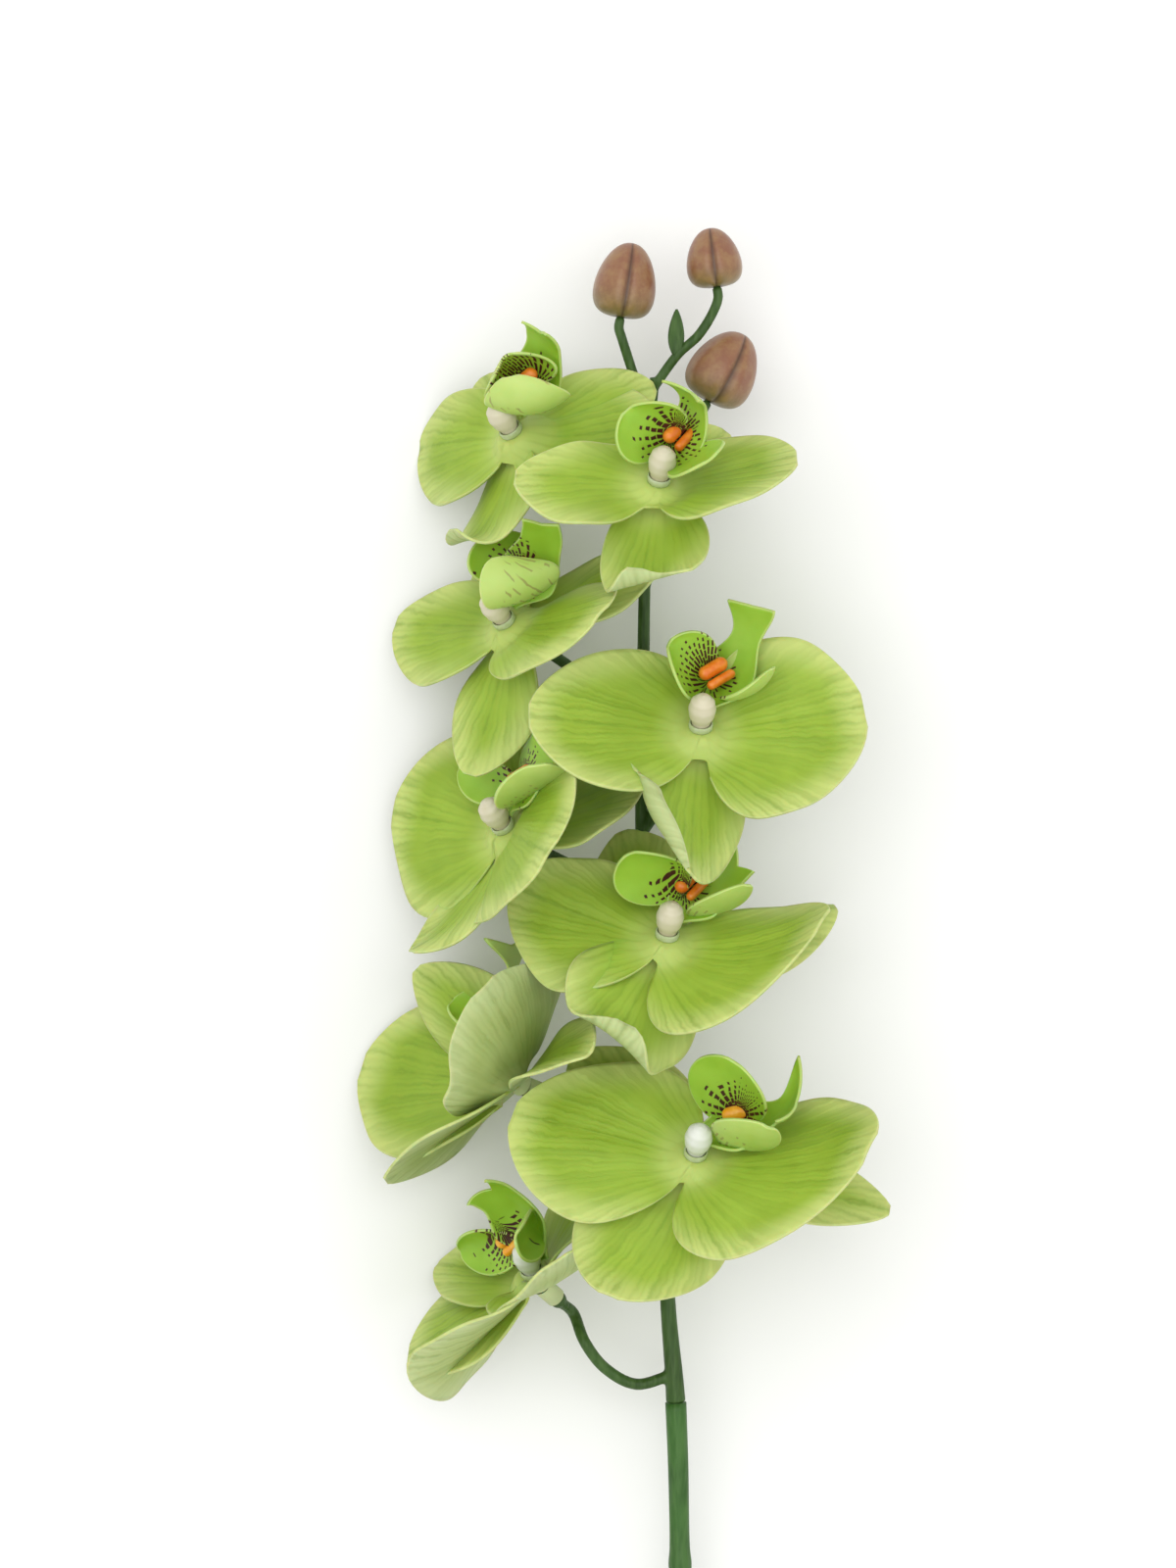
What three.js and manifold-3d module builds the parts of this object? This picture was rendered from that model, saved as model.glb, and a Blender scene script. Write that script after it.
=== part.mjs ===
// A moulded moth orchid stem lying on its back: nine green blooms and three closed buds on a
// branched stem that plugs into a thicker lower stem. Units are millimetres. +X runs across
// the stem, +Y along it towards the buds, +Z up from the surface that it lies on.

import * as THREE from 'three';
import { mergeVertices } from 'three/addons/utils/BufferGeometryUtils.js';
import Module from 'manifold-3d';

const wasm = await Module();
wasm.setup();

// Driving dimensions
const WALL = 0.8;              // thickness of every petal, sepal and lip lobe
const GAP = 0.35;              // clearance left where one moulding is seated on another
const HUB_RADIUS = 3.6;        // boss where the petals and sepals meet
const HUB_DEPTH = 3.4;
const SLEEVE_RADIUS = 2.9;     // short sleeve behind the boss, which plugs onto the branch
const SLEEVE_LENGTH = 7;
const SOCKET_RADIUS = 1.9;
const SOCKET_DEPTH = 4.5;
const PEG_RADIUS = 1.5;
const COLUMN_LEAN = 20;        // degrees from the facing direction towards the lip
const COLUMN_HEIGHT = 12;
const COLUMN_RADIUS = 4;
const COLUMN_FOOT = 2.4;
const COLLAR_OUTER = 3.5;
const COLLAR_INNER = 2.8;
const COLLAR_HEIGHT = 2.6;
const SEPAL_SETBACK = 1.6;     // the sepals lie this far behind the petals
const ROUND_SIDES = 8;
const HIDDEN_SIDES = 6;
const FINEST = 0.1;            // facets smaller than this are merged

const COLOURS = {
  petal: '#9cc552', lip: '#93cf45', callus: '#e0761a', column: '#ddd3be', collar: '#dfe6df',
  stem: '#2f5f24', lowerStem: '#4c7d45', bud: '#a9786a',
};

// Outline of each blade as moulded. left and right shape the outline on either side of the
// midrib: first where it is widest, then how full it is. power puts the curl near the tip.
// The lip's middle lobe is a strap: its neck and its flared end are set against its width,
// and notch is how deep its end is cut in.
const MOULD = {
  leftPetal: { length: 48, width: 50, left: [0.97, 0.58], right: [0.68, 0.5], rows: 5, lanes: 4 },
  rightPetal: { length: 48, width: 50, left: [0.97, 0.56], right: [0.65, 0.42], rows: 5, lanes: 4 },
  dorsal: { length: 46, width: 37, power: 3, left: [0.95, 0.6], right: [0.95, 0.6], rows: 4, lanes: 4 },
  lateral: { length: 46, width: 32, left: [1, 0.65], right: [1, 0.65], rows: 4, lanes: 2 },
  sideLobe: { length: 25, width: 18, left: [1, 0.5], right: [1, 0.5], rows: 4, lanes: 3 },
  middleLobe: { length: 31, width: 16, power: 2, neck: 0.5, flare: 1, notch: 0.15, rows: 5, lanes: 2 },
};

// Each bloom: where its boss is, which way it faces (turn to the right, tilt towards the
// buds, spin about its own axis), its size against the mould, and how each blade is bent.
// aim is the midrib's direction seen from the front, rise lifts it forward, roll and twist
// turn it about its midrib, curl bends it forward along its length, cup across its width.
// callusAim is the callus's direction from the foot of the lip, callusSpin how its bars lie.
const BLOOMS = [
  { at: [-20.6, 99.6, 33], turn: -38, tilt: 20, spin: -5, size: 0.86,
    leftPetal: { aim: 182, roll: -3, twist: -10, length: 55, width: 47, fuller: 0.76, curl: -27, cup: 13 },
    rightPetal: { aim: 15, rise: -25, roll: -11, length: 48, curl: 7, cup: -24, sweep: 0.07 },
    dorsal: { aim: -92, rise: -2, roll: 19, curl: 40, cup: -16, sweep: -0.11, tip: 110 },
    leftLateral: { aim: 142, rise: -15, twist: 19 },
    rightLateral: { aim: 41, rise: -17, twist: 9, length: 50, curl: -24, sweep: 0.07 },
    leftLobe: {
      aim: 91, rise: 52, roll: 35, twist: 22, length: 17,
      width: 28, fuller: 1.19, curl: 39, cup: 60
    },
    rightLobe: {
      aim: -59, rise: 8, roll: -26, twist: -4, length: 30, width: 29,
      fuller: 1.06, curl: 149, cup: 36, sweep: -0.17
    },
    middleLobe: {
      aim: 67, roll: 25, twist: 6, length: 38, width: 19, curl: 104,
      cup: 5, sweep: 0.15, neck: 0.7, flare: 0.5, notch: 0.12
    } },
  { at: [19.6, 83.9, 54], turn: 12, tilt: 30, spin: -3, size: 0.86, callusSpin: 52,
    leftPetal: { aim: 170, rise: 2, roll: 7, twist: -6, width: 45, fuller: 0.66, cup: 15, sweep: 0.18 },
    rightPetal: { aim: 5, rise: 22, roll: -28, twist: -4, fuller: 0.97 },
    dorsal: {
      aim: -96, rise: -6, roll: 11, twist: 21, width: 41,
      fuller: 0.76, curl: 40, sweep: -0.11, tip: 130
    },
    leftLateral: { aim: 125, rise: -44, length: 40 },
    rightLateral: { aim: 50, rise: -15 },
    leftLobe: {
      aim: 169, rise: 50, roll: -49, twist: -9, length: 21, width: 28,
      fuller: 0.98, curl: -24, cup: 47, sweep: 0.09
    },
    rightLobe: {
      aim: -59, rise: 38, roll: 14, twist: -3, length: 27,
      width: 22, curl: 35, cup: 17, sweep: -0.06
    },
    middleLobe: {
      aim: 38, rise: 18, roll: -23, twist: 8, length: 35, width: 19, curl: 136,
      cup: 15, sweep: 0.12, neck: 0.7, flare: 1, notch: 0.09
    } },
  { at: [-22.6, 44.9, 34], turn: -38, tilt: 20, spin: -5, size: 0.9,
    leftPetal: { aim: 181, rise: -4, roll: 19, twist: -18, length: 52, width: 45, fuller: 0.78 },
    rightPetal: {
      aim: -3, rise: 20, roll: -23, length: 51, width: 44,
      fuller: 0.94, cup: -19, sweep: 0.11
    },
    dorsal: {
      aim: -90, rise: -2, roll: 12, twist: -33, length: 50,
      width: 34, fuller: 0.84, curl: 6, cup: -10
    },
    leftLateral: { aim: 130, rise: -15 },
    rightLateral: { aim: 41, rise: -18, roll: -21, twist: 12, length: 54, fuller: 0.9 },
    leftLobe: {
      aim: 126, rise: 24, roll: 16, twist: 20, length: 17,
      width: 23, fuller: 0.97, curl: -5, cup: 30
    },
    rightLobe: {
      aim: -42, rise: 25, roll: -24, twist: 23, length: 27, width: 28,
      fuller: 0.91, curl: 147, cup: 20, sweep: -0.14
    },
    middleLobe: {
      aim: 55, rise: 10, roll: 24, twist: 35, length: 35, width: 20, curl: 58,
      cup: 6, sweep: 0.11, neck: 0.7, flare: 0.6, notch: 0.05
    } },
  { at: [31.9, 14, 48], turn: 8, tilt: 30, spin: 5, size: 1, callusSpin: 28,
    leftPetal: { aim: 173, rise: 8, roll: -4, length: 51, width: 45, fuller: 1.08, cup: 15 },
    rightPetal: { aim: 0, rise: 11, roll: 7, twist: 5, fuller: 1.2, cup: 15 },
    dorsal: { aim: -103, rise: -12, roll: -4, twist: -42, width: 34, fuller: 1.5, curl: 45, edge: 170 },
    leftLateral: { aim: 128, rise: -15 },
    rightLateral: { aim: 50, rise: -41, length: 53 },
    leftLobe: { aim: 150, rise: 50, roll: -10, twist: 10, length: 20, width: 22, curl: -5, cup: 47 },
    rightLobe: {
      aim: -37, rise: 22, roll: -41, twist: 9, length: 20, width: 19,
      fuller: 0.96, curl: 82, cup: 23, sweep: 0.06
    },
    middleLobe: {
      aim: 43, rise: 10, roll: -24, twist: 15, length: 37, width: 19,
      curl: 72, cup: 7, flare: 0.8, notch: 0.01
    } },
  { at: [-22.9, -14.1, 34], turn: -42, tilt: 20, spin: -15, size: 1,
    leftPetal: { aim: 189, rise: 5, roll: 6, twist: -19, length: 45, width: 57, fuller: 1.1, cup: -10 },
    rightPetal: { aim: -5, rise: 42, roll: 3, twist: -9, width: 53, fuller: 1.03, curl: -28, cup: -9 },
    dorsal: { aim: -93, rise: 8, roll: 24, width: 31, curl: 38, cup: -18, edge: 60 },
    leftLateral: { aim: 135, rise: -15 },
    rightLateral: { aim: 45, rise: -19, roll: -26, length: 41, width: 39, fuller: 0.9 },
    leftLobe: {
      aim: 189, rise: 25, roll: -31, twist: 10, length: 21,
      width: 17, fuller: 0.89, curl: -22, cup: 41
    },
    rightLobe: { aim: 15, rise: 26, roll: -47, twist: -25, width: 24, fuller: 0.95, curl: 38, cup: 3 },
    middleLobe: {
      aim: 59, rise: 26, roll: -31, twist: 48, length: 33, width: 20,
      curl: -18, cup: -2, sweep: 0.07, neck: 0.7, flare: 0.8
    } },
  { at: [22.1, -45.6, 48], turn: 10, tilt: 35, spin: -5, size: 1, callusSpin: 53,
    leftPetal: { aim: 161, rise: -3, roll: 9, twist: -36, fuller: 0.77, sweep: -0.07 },
    rightPetal: {
      aim: -21, rise: 11, roll: -2, twist: -10, width: 39,
      fuller: 1.63, curl: 40, cup: -10, sweep: 0.25
    },
    dorsal: {
      aim: -116, rise: -8, roll: -14, twist: -10, length: 43,
      width: 42, curl: 25, cup: -13, tip: 170
    },
    leftLateral: { aim: 112, rise: -11, roll: -12, fuller: 1.18, cup: -18, sweep: -0.15 },
    rightLateral: {
      aim: 18, rise: -4, roll: -11, twist: -15, length: 56,
      width: 34, cup: -40, sweep: 0.08
    },
    leftLobe: {
      aim: 145, rise: 41, roll: -54, twist: -10, length: 23, width: 24,
      fuller: 0.93, curl: 31, cup: 31, sweep: 0.06
    },
    rightLobe: {
      aim: -34, rise: 47, roll: -51, twist: 8, length: 24, width: 15,
      fuller: 0.93, curl: 39, cup: 18, sweep: 0.03
    },
    middleLobe: {
      aim: 41, rise: 12, roll: 7, twist: -15, width: 18, curl: 55,
      cup: 33, sweep: -0.09, neck: 0.7, flare: 0.6
    } },
  { at: [-20.8, -86.3, 30], turn: -62, tilt: 20, spin: -18, size: 1.05, callusAim: 105,
    leftPetal: {
      aim: 205, rise: 24, roll: 17, twist: -15, length: 52,
      width: 54, curl: 9, cup: 9, sweep: 0.04
    },
    rightPetal: { aim: 37, rise: 26, roll: -35, twist: 6, length: 44, fuller: 0.96, curl: 50, cup: 23 },
    dorsal: { aim: -95, rise: 30, roll: 33, twist: 18, width: 39, fuller: 0.86, cup: -7 },
    leftLateral: {
      aim: 148, rise: 27, roll: 5, twist: -2, length: 45,
      width: 30, curl: 31, cup: -9, sweep: 0.1
    },
    rightLateral: {
      aim: 43, rise: 16, roll: -36, twist: -2, length: 47,
      fuller: 0.82, curl: -30, cup: 19, sweep: -0.12
    },
    leftLobe: {
      aim: 172, rise: 53, roll: 47, twist: 5, length: 21, width: 17,
      fuller: 1.05, curl: -14, cup: 37, sweep: 0.03
    },
    rightLobe: { aim: 46, rise: 40, roll: -30, cup: 35 },
    middleLobe: {
      aim: 111, rise: 20, roll: -20, twist: -48, length: 35, width: 19,
      curl: 5, sweep: -0.04, neck: 0.3, flare: 1.2, notch: 0.08
    } },
  { at: [30.2, -107.1, 53], turn: 8, tilt: 25, spin: -3, size: 1.12, callusSpin: 18, callusAim: 24,
    leftPetal: { aim: 161, rise: -3, fuller: 0.88, sweep: 0.09 },
    rightPetal: { aim: -22, rise: 21, roll: -11, fuller: 1.14, curl: 28, cup: -9, sweep: 0.22 },
    dorsal: { aim: -112, rise: -9, length: 43, fuller: 1.1, curl: 35, cup: -10, sweep: -0.16 },
    leftLateral: { aim: 130, rise: -15 },
    rightLateral: { aim: -10, rise: -6, roll: -20, twist: 15, length: 53, width: 24, fuller: 0.8 },
    leftLobe: {
      aim: 80, rise: 60, roll: -22, twist: -9, length: 23, width: 22,
      fuller: 1.09, curl: 18, cup: 6, sweep: -0.04
    },
    rightLobe: {
      aim: -52, rise: 61, roll: -62, twist: 12, length: 24,
      fuller: 0.98, curl: 27, cup: 26, sweep: -0.04
    },
    middleLobe: {
      aim: 6, rise: 6, roll: -11, twist: -25, length: 32, width: 19,
      curl: 73, cup: 39, sweep: 0.07, flare: 1.3, notch: 0.09
    } },
  { at: [-15.2, -143.3, 28], turn: -41, tilt: 33, spin: -35, size: 1, callusSpin: 90, callusAim: 195,
    leftPetal: { aim: 245, roll: 14, twist: 2, width: 49, fuller: 1.03, curl: -10, sweep: 0.03 },
    rightPetal: {
      aim: 9, rise: 19, roll: -28, twist: 11, length: 39,
      width: 48, fuller: 0.78, curl: 50, cup: 2
    },
    dorsal: {
      aim: -61, rise: 24, roll: 35, twist: 21, length: 49, width: 42,
      fuller: 1.27, curl: 50, cup: -16, sweep: -0.04
    },
    leftLateral: {
      aim: 210, rise: 9, twist: 12, length: 41, width: 27,
      fuller: 0.98, curl: -16, cup: 13, sweep: 0.02
    },
    rightLateral: {
      aim: 110, rise: 12, roll: -32, twist: 16, length: 41, width: 34,
      fuller: 0.97, curl: -23, cup: 16, sweep: -0.02
    },
    leftLobe: { aim: 228, rise: 2, roll: -59, length: 23, width: 17, curl: -4, cup: 50 },
    rightLobe: {
      aim: -59, rise: 63, roll: -59, twist: -32, length: 21,
      fuller: 0.88, curl: 39, cup: 45, sweep: 0.19
    },
    middleLobe: {
      aim: 150, rise: 49, roll: -16, twist: 29, length: 36, width: 20, curl: 81,
      cup: 52, sweep: 0.03, neck: 0.7, flare: 0.6, notch: 0.23
    } },
];

const radians = THREE.MathUtils.degToRad;

// A closed mesh as a solid, and a solid back as a geometry
function solid(geometry) {
  const bare = geometry.clone();
  bare.deleteAttribute('normal');
  bare.deleteAttribute('uv');
  const merged = mergeVertices(bare, 1e-4);
  return new wasm.Manifold(new wasm.Mesh({
    numProp: 3,
    vertProperties: new Float32Array(merged.attributes.position.array),
    triVerts: new Uint32Array(merged.index.array),
  }));
}

function geometryOf(manifold) {
  const mesh = largestBody(manifold.simplify(FINEST)).getMesh();
  const geometry = new THREE.BufferGeometry();
  const positions = new Float32Array(mesh.numVert * 3);
  for (let i = 0; i < mesh.numVert; i += 1) {
    for (let k = 0; k < 3; k += 1) positions[3 * i + k] = mesh.vertProperties[mesh.numProp * i + k];
  }
  geometry.setAttribute('position', new THREE.BufferAttribute(positions, 3));
  geometry.setIndex(new THREE.BufferAttribute(new Uint32Array(mesh.triVerts), 1));
  geometry.computeVertexNormals();
  return geometry;
}

function largestBody(manifold) {
  const bodies = manifold.decompose();
  bodies.sort((a, b) => volumeOf(b) - volumeOf(a));
  return bodies[0];
}

function volumeOf(manifold) {
  return manifold.volume ? manifold.volume() : manifold.getProperties().volume;
}

// Running integral of a direction angle, as the two coordinates of the curve that it draws
function curveOf(angleAt, steps) {
  const along = [0];
  const across = [0];
  for (let i = 0; i < steps; i += 1) {
    const a = angleAt(i / steps);
    const b = angleAt((i + 1) / steps);
    along.push(along[i] + (Math.cos(a) + Math.cos(b)) / 2 / steps);
    across.push(across[i] + (Math.sin(a) + Math.sin(b)) / 2 / steps);
  }
  return (t) => {
    const x = Math.min(t, 1) * steps;
    const i = Math.min(Math.floor(x), steps - 1);
    const f = x - i;
    return [along[i] + f * (along[i + 1] - along[i]), across[i] + f * (across[i + 1] - across[i])];
  };
}

function ramp(t, start) {
  return Math.max(0, (t - start) / (1 - start));
}

// Value that eases from knot to knot, each a position and a value
function eased(t, knots) {
  return knots.slice(1).reduce((value, [to, next], k) => {
    const [from, last] = knots[k];
    return value + (next - last) * THREE.MathUtils.smoothstep(t, from, to);
  }, knots[0][1]);
}

function direction(aim, rise) {
  return new THREE.Vector3(Math.cos(aim) * Math.cos(rise), Math.sin(aim) * Math.cos(rise), Math.sin(rise));
}

const STRAP_ROOT = 0.3;        // width of a strap where it begins, against its widest
const STRAP_WIDEST = 0.35;     // where along a strap it is widest
const STRAP_NECK = 0.72;       // and where it is narrowest

function halfWidth(shape, s, left) {
  const half = shape.width / 2 * (left ? 1 : shape.fuller);
  if (shape.flare) {
    return half * eased(s, [[0, STRAP_ROOT], [STRAP_WIDEST, 1], [STRAP_NECK, shape.neck], [1, shape.flare]]);
  }
  const [wide, square] = left ? shape.left : shape.right;
  return half * Math.sin(Math.PI * s ** wide) ** square;
}

const TIP_START = 0.72;        // where along a blade its tip begins to bend
const TIP_EASE = 1.2;
const EDGE_START = 0.5;        // where across a blade its right edge begins to roll
const EDGE_EASE = 1.3;
const EDGE_ALONG = [[0, 0], [0.2, 0], [0.5, 1]];
const CURVE_STEPS = 100;

// Middle surface of a blade: a function that gives the point at s, from the root to the tip, and
// at v, from the right edge at -1 to the left edge at 1.
function bladeSurface(mould, bend) {
  const shape = {
    rise: 0, roll: 0, twist: 0, curl: 0, power: 1, tip: 0, cup: 0, edge: 0, sweep: 0, fuller: 1, notch: 0,
    ...mould, ...bend,
  };
  const ahead = direction(radians(shape.aim), radians(shape.rise));
  const upright = new THREE.Vector3(0, 0, 1).addScaledVector(ahead, -ahead.z).normalize();
  const level = new THREE.Vector3().crossVectors(upright, ahead);
  const sideways = level.applyAxisAngle(ahead, radians(shape.roll));
  const front = new THREE.Vector3().crossVectors(ahead, sideways);
  const tipAt = (s) => radians(shape.tip) * ramp(s, TIP_START) ** TIP_EASE;
  const bendAt = (s) => radians(shape.curl) * s ** shape.power + tipAt(s);
  const cupAt = (v) => radians(shape.cup) * v;
  const edgeAt = (v) => radians(shape.edge) * ramp(v, EDGE_START) ** EDGE_EASE;
  const midrib = curveOf(bendAt, CURVE_STEPS);
  const plain = curveOf(cupAt, CURVE_STEPS);
  const rolled = curveOf((v) => cupAt(v) + edgeAt(v), CURVE_STEPS);
  return (s, v) => {
    const reach = s * (1 - shape.notch * (1 - Math.abs(v)) * s * s);
    const [x, z] = midrib(reach);
    const bent = bendAt(reach);
    const twist = radians(shape.twist) * reach;
    const normal = front.clone().multiplyScalar(Math.cos(bent)).addScaledVector(ahead, -Math.sin(bent));
    const side = sideways.clone().multiplyScalar(Math.cos(twist)).addScaledVector(normal, Math.sin(twist));
    const face = normal.clone().multiplyScalar(Math.cos(twist)).addScaledVector(sideways, -Math.sin(twist));
    const half = halfWidth(shape, s, v > 0);
    const [flat, arc] = [plain(Math.abs(v)), rolled(Math.abs(v))];
    const share = v > 0 ? 0 : eased(s, EDGE_ALONG);
    const [out, lift] = flat.map((value, i) => value + share * (arc[i] - value));
    return new THREE.Vector3()
      .addScaledVector(ahead, x * shape.length)
      .addScaledVector(front, z * shape.length)
      .addScaledVector(sideways, shape.sweep * shape.length * reach * reach)
      .addScaledVector(side, Math.sign(v) * out * half)
      .addScaledVector(face, lift * half);
  };
}

const SHEET_START = 0.012;
const SHEET_END = 0.988;
const NORMAL_STEP = 0.005;
const NORMAL_REACH = 0.02;

// Closed sheet of a given thickness about a middle surface. Both faces are split alike.
function sheet(surface, rows, lanes, thickness, from = SHEET_START, to = SHEET_END) {
  const points = [];
  const normals = [];
  for (let i = 0; i <= rows; i += 1) {
    const s = from + (to - from) * i / rows;
    for (let j = 0; j <= lanes; j += 1) {
      const v = -1 + 2 * j / lanes;
      const after = Math.min(s + NORMAL_STEP, 1 - NORMAL_STEP);
      const before = Math.max(s - NORMAL_STEP, NORMAL_STEP);
      const along = surface(after, v).sub(surface(before, v));
      const left = Math.min(v + NORMAL_REACH, 1);
      const right = Math.max(v - NORMAL_REACH, -1);
      const across = surface(s, left).sub(surface(s, right));
      points.push(surface(s, v));
      normals.push(along.cross(across).normalize());
    }
  }
  const count = points.length;
  const positions = [];
  for (const half of [thickness / 2, -thickness / 2]) {
    points.forEach((p, i) => positions.push(...p.clone().addScaledVector(normals[i], half).toArray()));
  }
  const faces = [];
  const quad = (a, b, c, d) => faces.push(a, b, c, a, c, d);
  const at = (i, j) => i * (lanes + 1) + j;
  for (let i = 0; i < rows; i += 1) {
    for (let j = 0; j < lanes; j += 1) {
      const [a, b, c, d] = [at(i, j), at(i + 1, j), at(i + 1, j + 1), at(i, j + 1)];
      quad(a, b, c, d);
      faces.push(count + a, count + c, count + b, count + a, count + d, count + c);
    }
  }
  const rim = [];
  for (let j = 0; j < lanes; j += 1) rim.push(at(0, j));
  for (let i = 0; i < rows; i += 1) rim.push(at(i, lanes));
  for (let j = lanes; j > 0; j -= 1) rim.push(at(rows, j));
  for (let i = rows; i > 0; i -= 1) rim.push(at(i, 0));
  rim.forEach((a, k) => {
    const b = rim[(k + 1) % rim.length];
    quad(a, b, count + b, count + a);
  });
  const geometry = new THREE.BufferGeometry();
  geometry.setAttribute('position', new THREE.Float32BufferAttribute(positions, 3));
  geometry.setIndex(faces);
  return geometry;
}

function blade(mould, bend, extra = 0) {
  const grown = extra ? { ...bend, width: (bend.width ?? mould.width) + 2 * extra } : bend;
  return solid(sheet(bladeSurface(mould, grown), mould.rows, mould.lanes, WALL + 2 * extra));
}

// Rods and turned pieces lie along +Z of the bloom that holds them
function rod(radius, from, to, sides = ROUND_SIDES) {
  const geometry = new THREE.CylinderGeometry(radius, radius, to - from, sides);
  return solid(geometry.rotateX(Math.PI / 2).translate(0, 0, (from + to) / 2));
}

function turned(profile, sides = ROUND_SIDES) {
  const points = profile.map(([radius, height]) => new THREE.Vector2(radius, height));
  return solid(new THREE.LatheGeometry(points, sides).rotateX(Math.PI / 2));
}

function leant(manifold) {
  return manifold.rotate([-COLUMN_LEAN, 0, 0]);
}

function union(manifolds) {
  return wasm.Manifold.union(manifolds);
}

// Bloom
const BOSS_FRONT = 0.8;        // front face of the boss
const BOSS_TOP = 2.2;          // seat for the column, along the column's axis
const LIP_SEAT = { y: 5.4, z: 1.2, radius: 2.2 };
const LIP_ROOT = new THREE.Vector3(0, 6, 3);
const LOBE_FOOT = [0.2, 0.5];  // where on the strap each side lobe grows, along it and across
// The column is an egg: its radius against its belly at each share of its height
const COLUMN_EGG = [[0.86, 0.38], [1, 0.62], [0.8, 0.85]];
const COLUMN_TIP = 0.38;
const CLAW_RADIUS = 1.8;
const CLAW_TOP = 4.5;
const CALLUS = {
  aim: 62, rise: 33, reach: 13, spin: 45, length: 9.6, radii: [2.1, 1.4], apart: 3.9, drop: 0.6,
  caps: 2, sides: 6,
};
const CALLUS_FOOT = { radius: 1.7, length: 9 };
const TEPALS = ['leftPetal', 'rightPetal', 'dorsal', 'leftLateral', 'rightLateral'];
const MOULD_OF = {
  leftPetal: 'leftPetal', rightPetal: 'rightPetal', dorsal: 'dorsal', leftLateral: 'lateral',
  rightLateral: 'lateral', leftLobe: 'sideLobe', rightLobe: 'sideLobe', middleLobe: 'middleLobe',
};

function bentBlade(bloom, name, extra = 0) {
  const mould = MOULD[MOULD_OF[name]];
  const bend = { ...bloom[name] };
  bend.length = (bend.length ?? mould.length) * bloom.size;
  bend.width = (bend.width ?? mould.width) * bloom.size;
  return [mould, bend, extra];
}

function boss(extra = 0) {
  return union([
    rod(HUB_RADIUS + extra, -HUB_DEPTH, BOSS_FRONT + extra),
    leant(rod(HUB_RADIUS + extra, 0, BOSS_TOP + extra)),
    rod(LIP_SEAT.radius + extra, -BOSS_TOP, LIP_SEAT.z + extra).translate([0, LIP_SEAT.y, 0]),
  ]);
}

function tepals(bloom, extra = 0) {
  const blades = TEPALS.map((name) => {
    const setback = name.endsWith('Petal') ? 0 : -SEPAL_SETBACK;
    return blade(...bentBlade(bloom, name, extra)).translate([0, 0, setback]);
  });
  return union([...blades, boss(extra)]);
}

function petalsSolid(bloom) {
  const back = -HUB_DEPTH - SLEEVE_LENGTH;
  return tepals(bloom)
    .add(rod(SLEEVE_RADIUS, back, -HUB_DEPTH + 1))
    .subtract(rod(SOCKET_RADIUS, back - 1, back + SOCKET_DEPTH, 8));
}

function columnSolid(extra = 0) {
  const foot = BOSS_TOP + GAP;
  const top = foot + COLUMN_HEIGHT;
  const belly = COLUMN_RADIUS + extra;
  const egg = COLUMN_EGG.map(([share, height]) => [belly * share, foot + height * COLUMN_HEIGHT]);
  return leant(turned([
    [0, foot - extra], [COLUMN_FOOT + extra, foot - extra], [COLUMN_FOOT + extra, foot + COLLAR_HEIGHT],
    ...egg, [belly * COLUMN_TIP, top + extra], [0, top + extra],
  ]));
}

function columnRoom() {
  const collar = rod(COLLAR_OUTER + GAP, BOSS_TOP, BOSS_TOP + COLLAR_HEIGHT + 2 * GAP);
  return columnSolid(GAP).add(leant(collar));
}

function collarSolid() {
  const foot = BOSS_TOP + GAP;
  const top = foot + COLLAR_HEIGHT - GAP;
  return leant(turned([
    [COLLAR_INNER, foot], [COLLAR_OUTER, foot], [COLLAR_OUTER, top], [COLLAR_INNER, top],
    [COLLAR_INNER, foot],
  ]));
}

function lipLobes(bloom, extra = 0) {
  const strap = bladeSurface(...bentBlade(bloom, 'middleLobe'));
  const lobes = [['middleLobe', 0], ['leftLobe', 1], ['rightLobe', -1]].map(([name, side]) => {
    const foot = LIP_ROOT.clone();
    if (side) foot.add(strap(LOBE_FOOT[0], LOBE_FOOT[1] * side));
    return blade(...bentBlade(bloom, name, extra)).translate(foot.toArray());
  });
  const claw = rod(CLAW_RADIUS, LIP_SEAT.z + GAP, CLAW_TOP, HIDDEN_SIDES).translate([0, LIP_SEAT.y, 0]);
  return union([...lobes, claw]);
}

function callusSolid({ size, callusAim = CALLUS.aim, callusSpin = CALLUS.spin }) {
  const ahead = direction(radians(callusAim), radians(CALLUS.rise));
  const centre = LIP_ROOT.clone().addScaledVector(ahead, CALLUS.reach * size);
  const spin = radians(callusSpin);
  const step = new THREE.Vector3(Math.sin(spin) * CALLUS.apart, -Math.cos(spin) * CALLUS.apart, -CALLUS.drop);
  const bars = CALLUS.radii.map((radius, i) => {
    const bar = new THREE.CapsuleGeometry(radius, CALLUS.length - 2 * radius, CALLUS.caps, CALLUS.sides);
    return solid(bar.rotateZ(spin - Math.PI / 2)).translate(step.clone().multiplyScalar(i).toArray());
  });
  return union([...bars, rod(CALLUS_FOOT.radius, -CALLUS_FOOT.length, 0, HIDDEN_SIDES)]).translate(centre.toArray());
}

function bloomFrame({ at, turn, tilt, spin }) {
  const [t, i, s] = [turn, tilt, spin].map(radians);
  const facing = new THREE.Vector3(Math.sin(t) * Math.cos(i), Math.sin(i), Math.cos(t) * Math.cos(i));
  const upright = new THREE.Vector3(0, 1, 0).addScaledVector(facing, -facing.y).normalize();
  const up = upright.applyAxisAngle(facing, s);
  const right = new THREE.Vector3().crossVectors(up, facing);
  return new THREE.Matrix4().makeBasis(right, up, facing).setPosition(...at);
}

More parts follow.
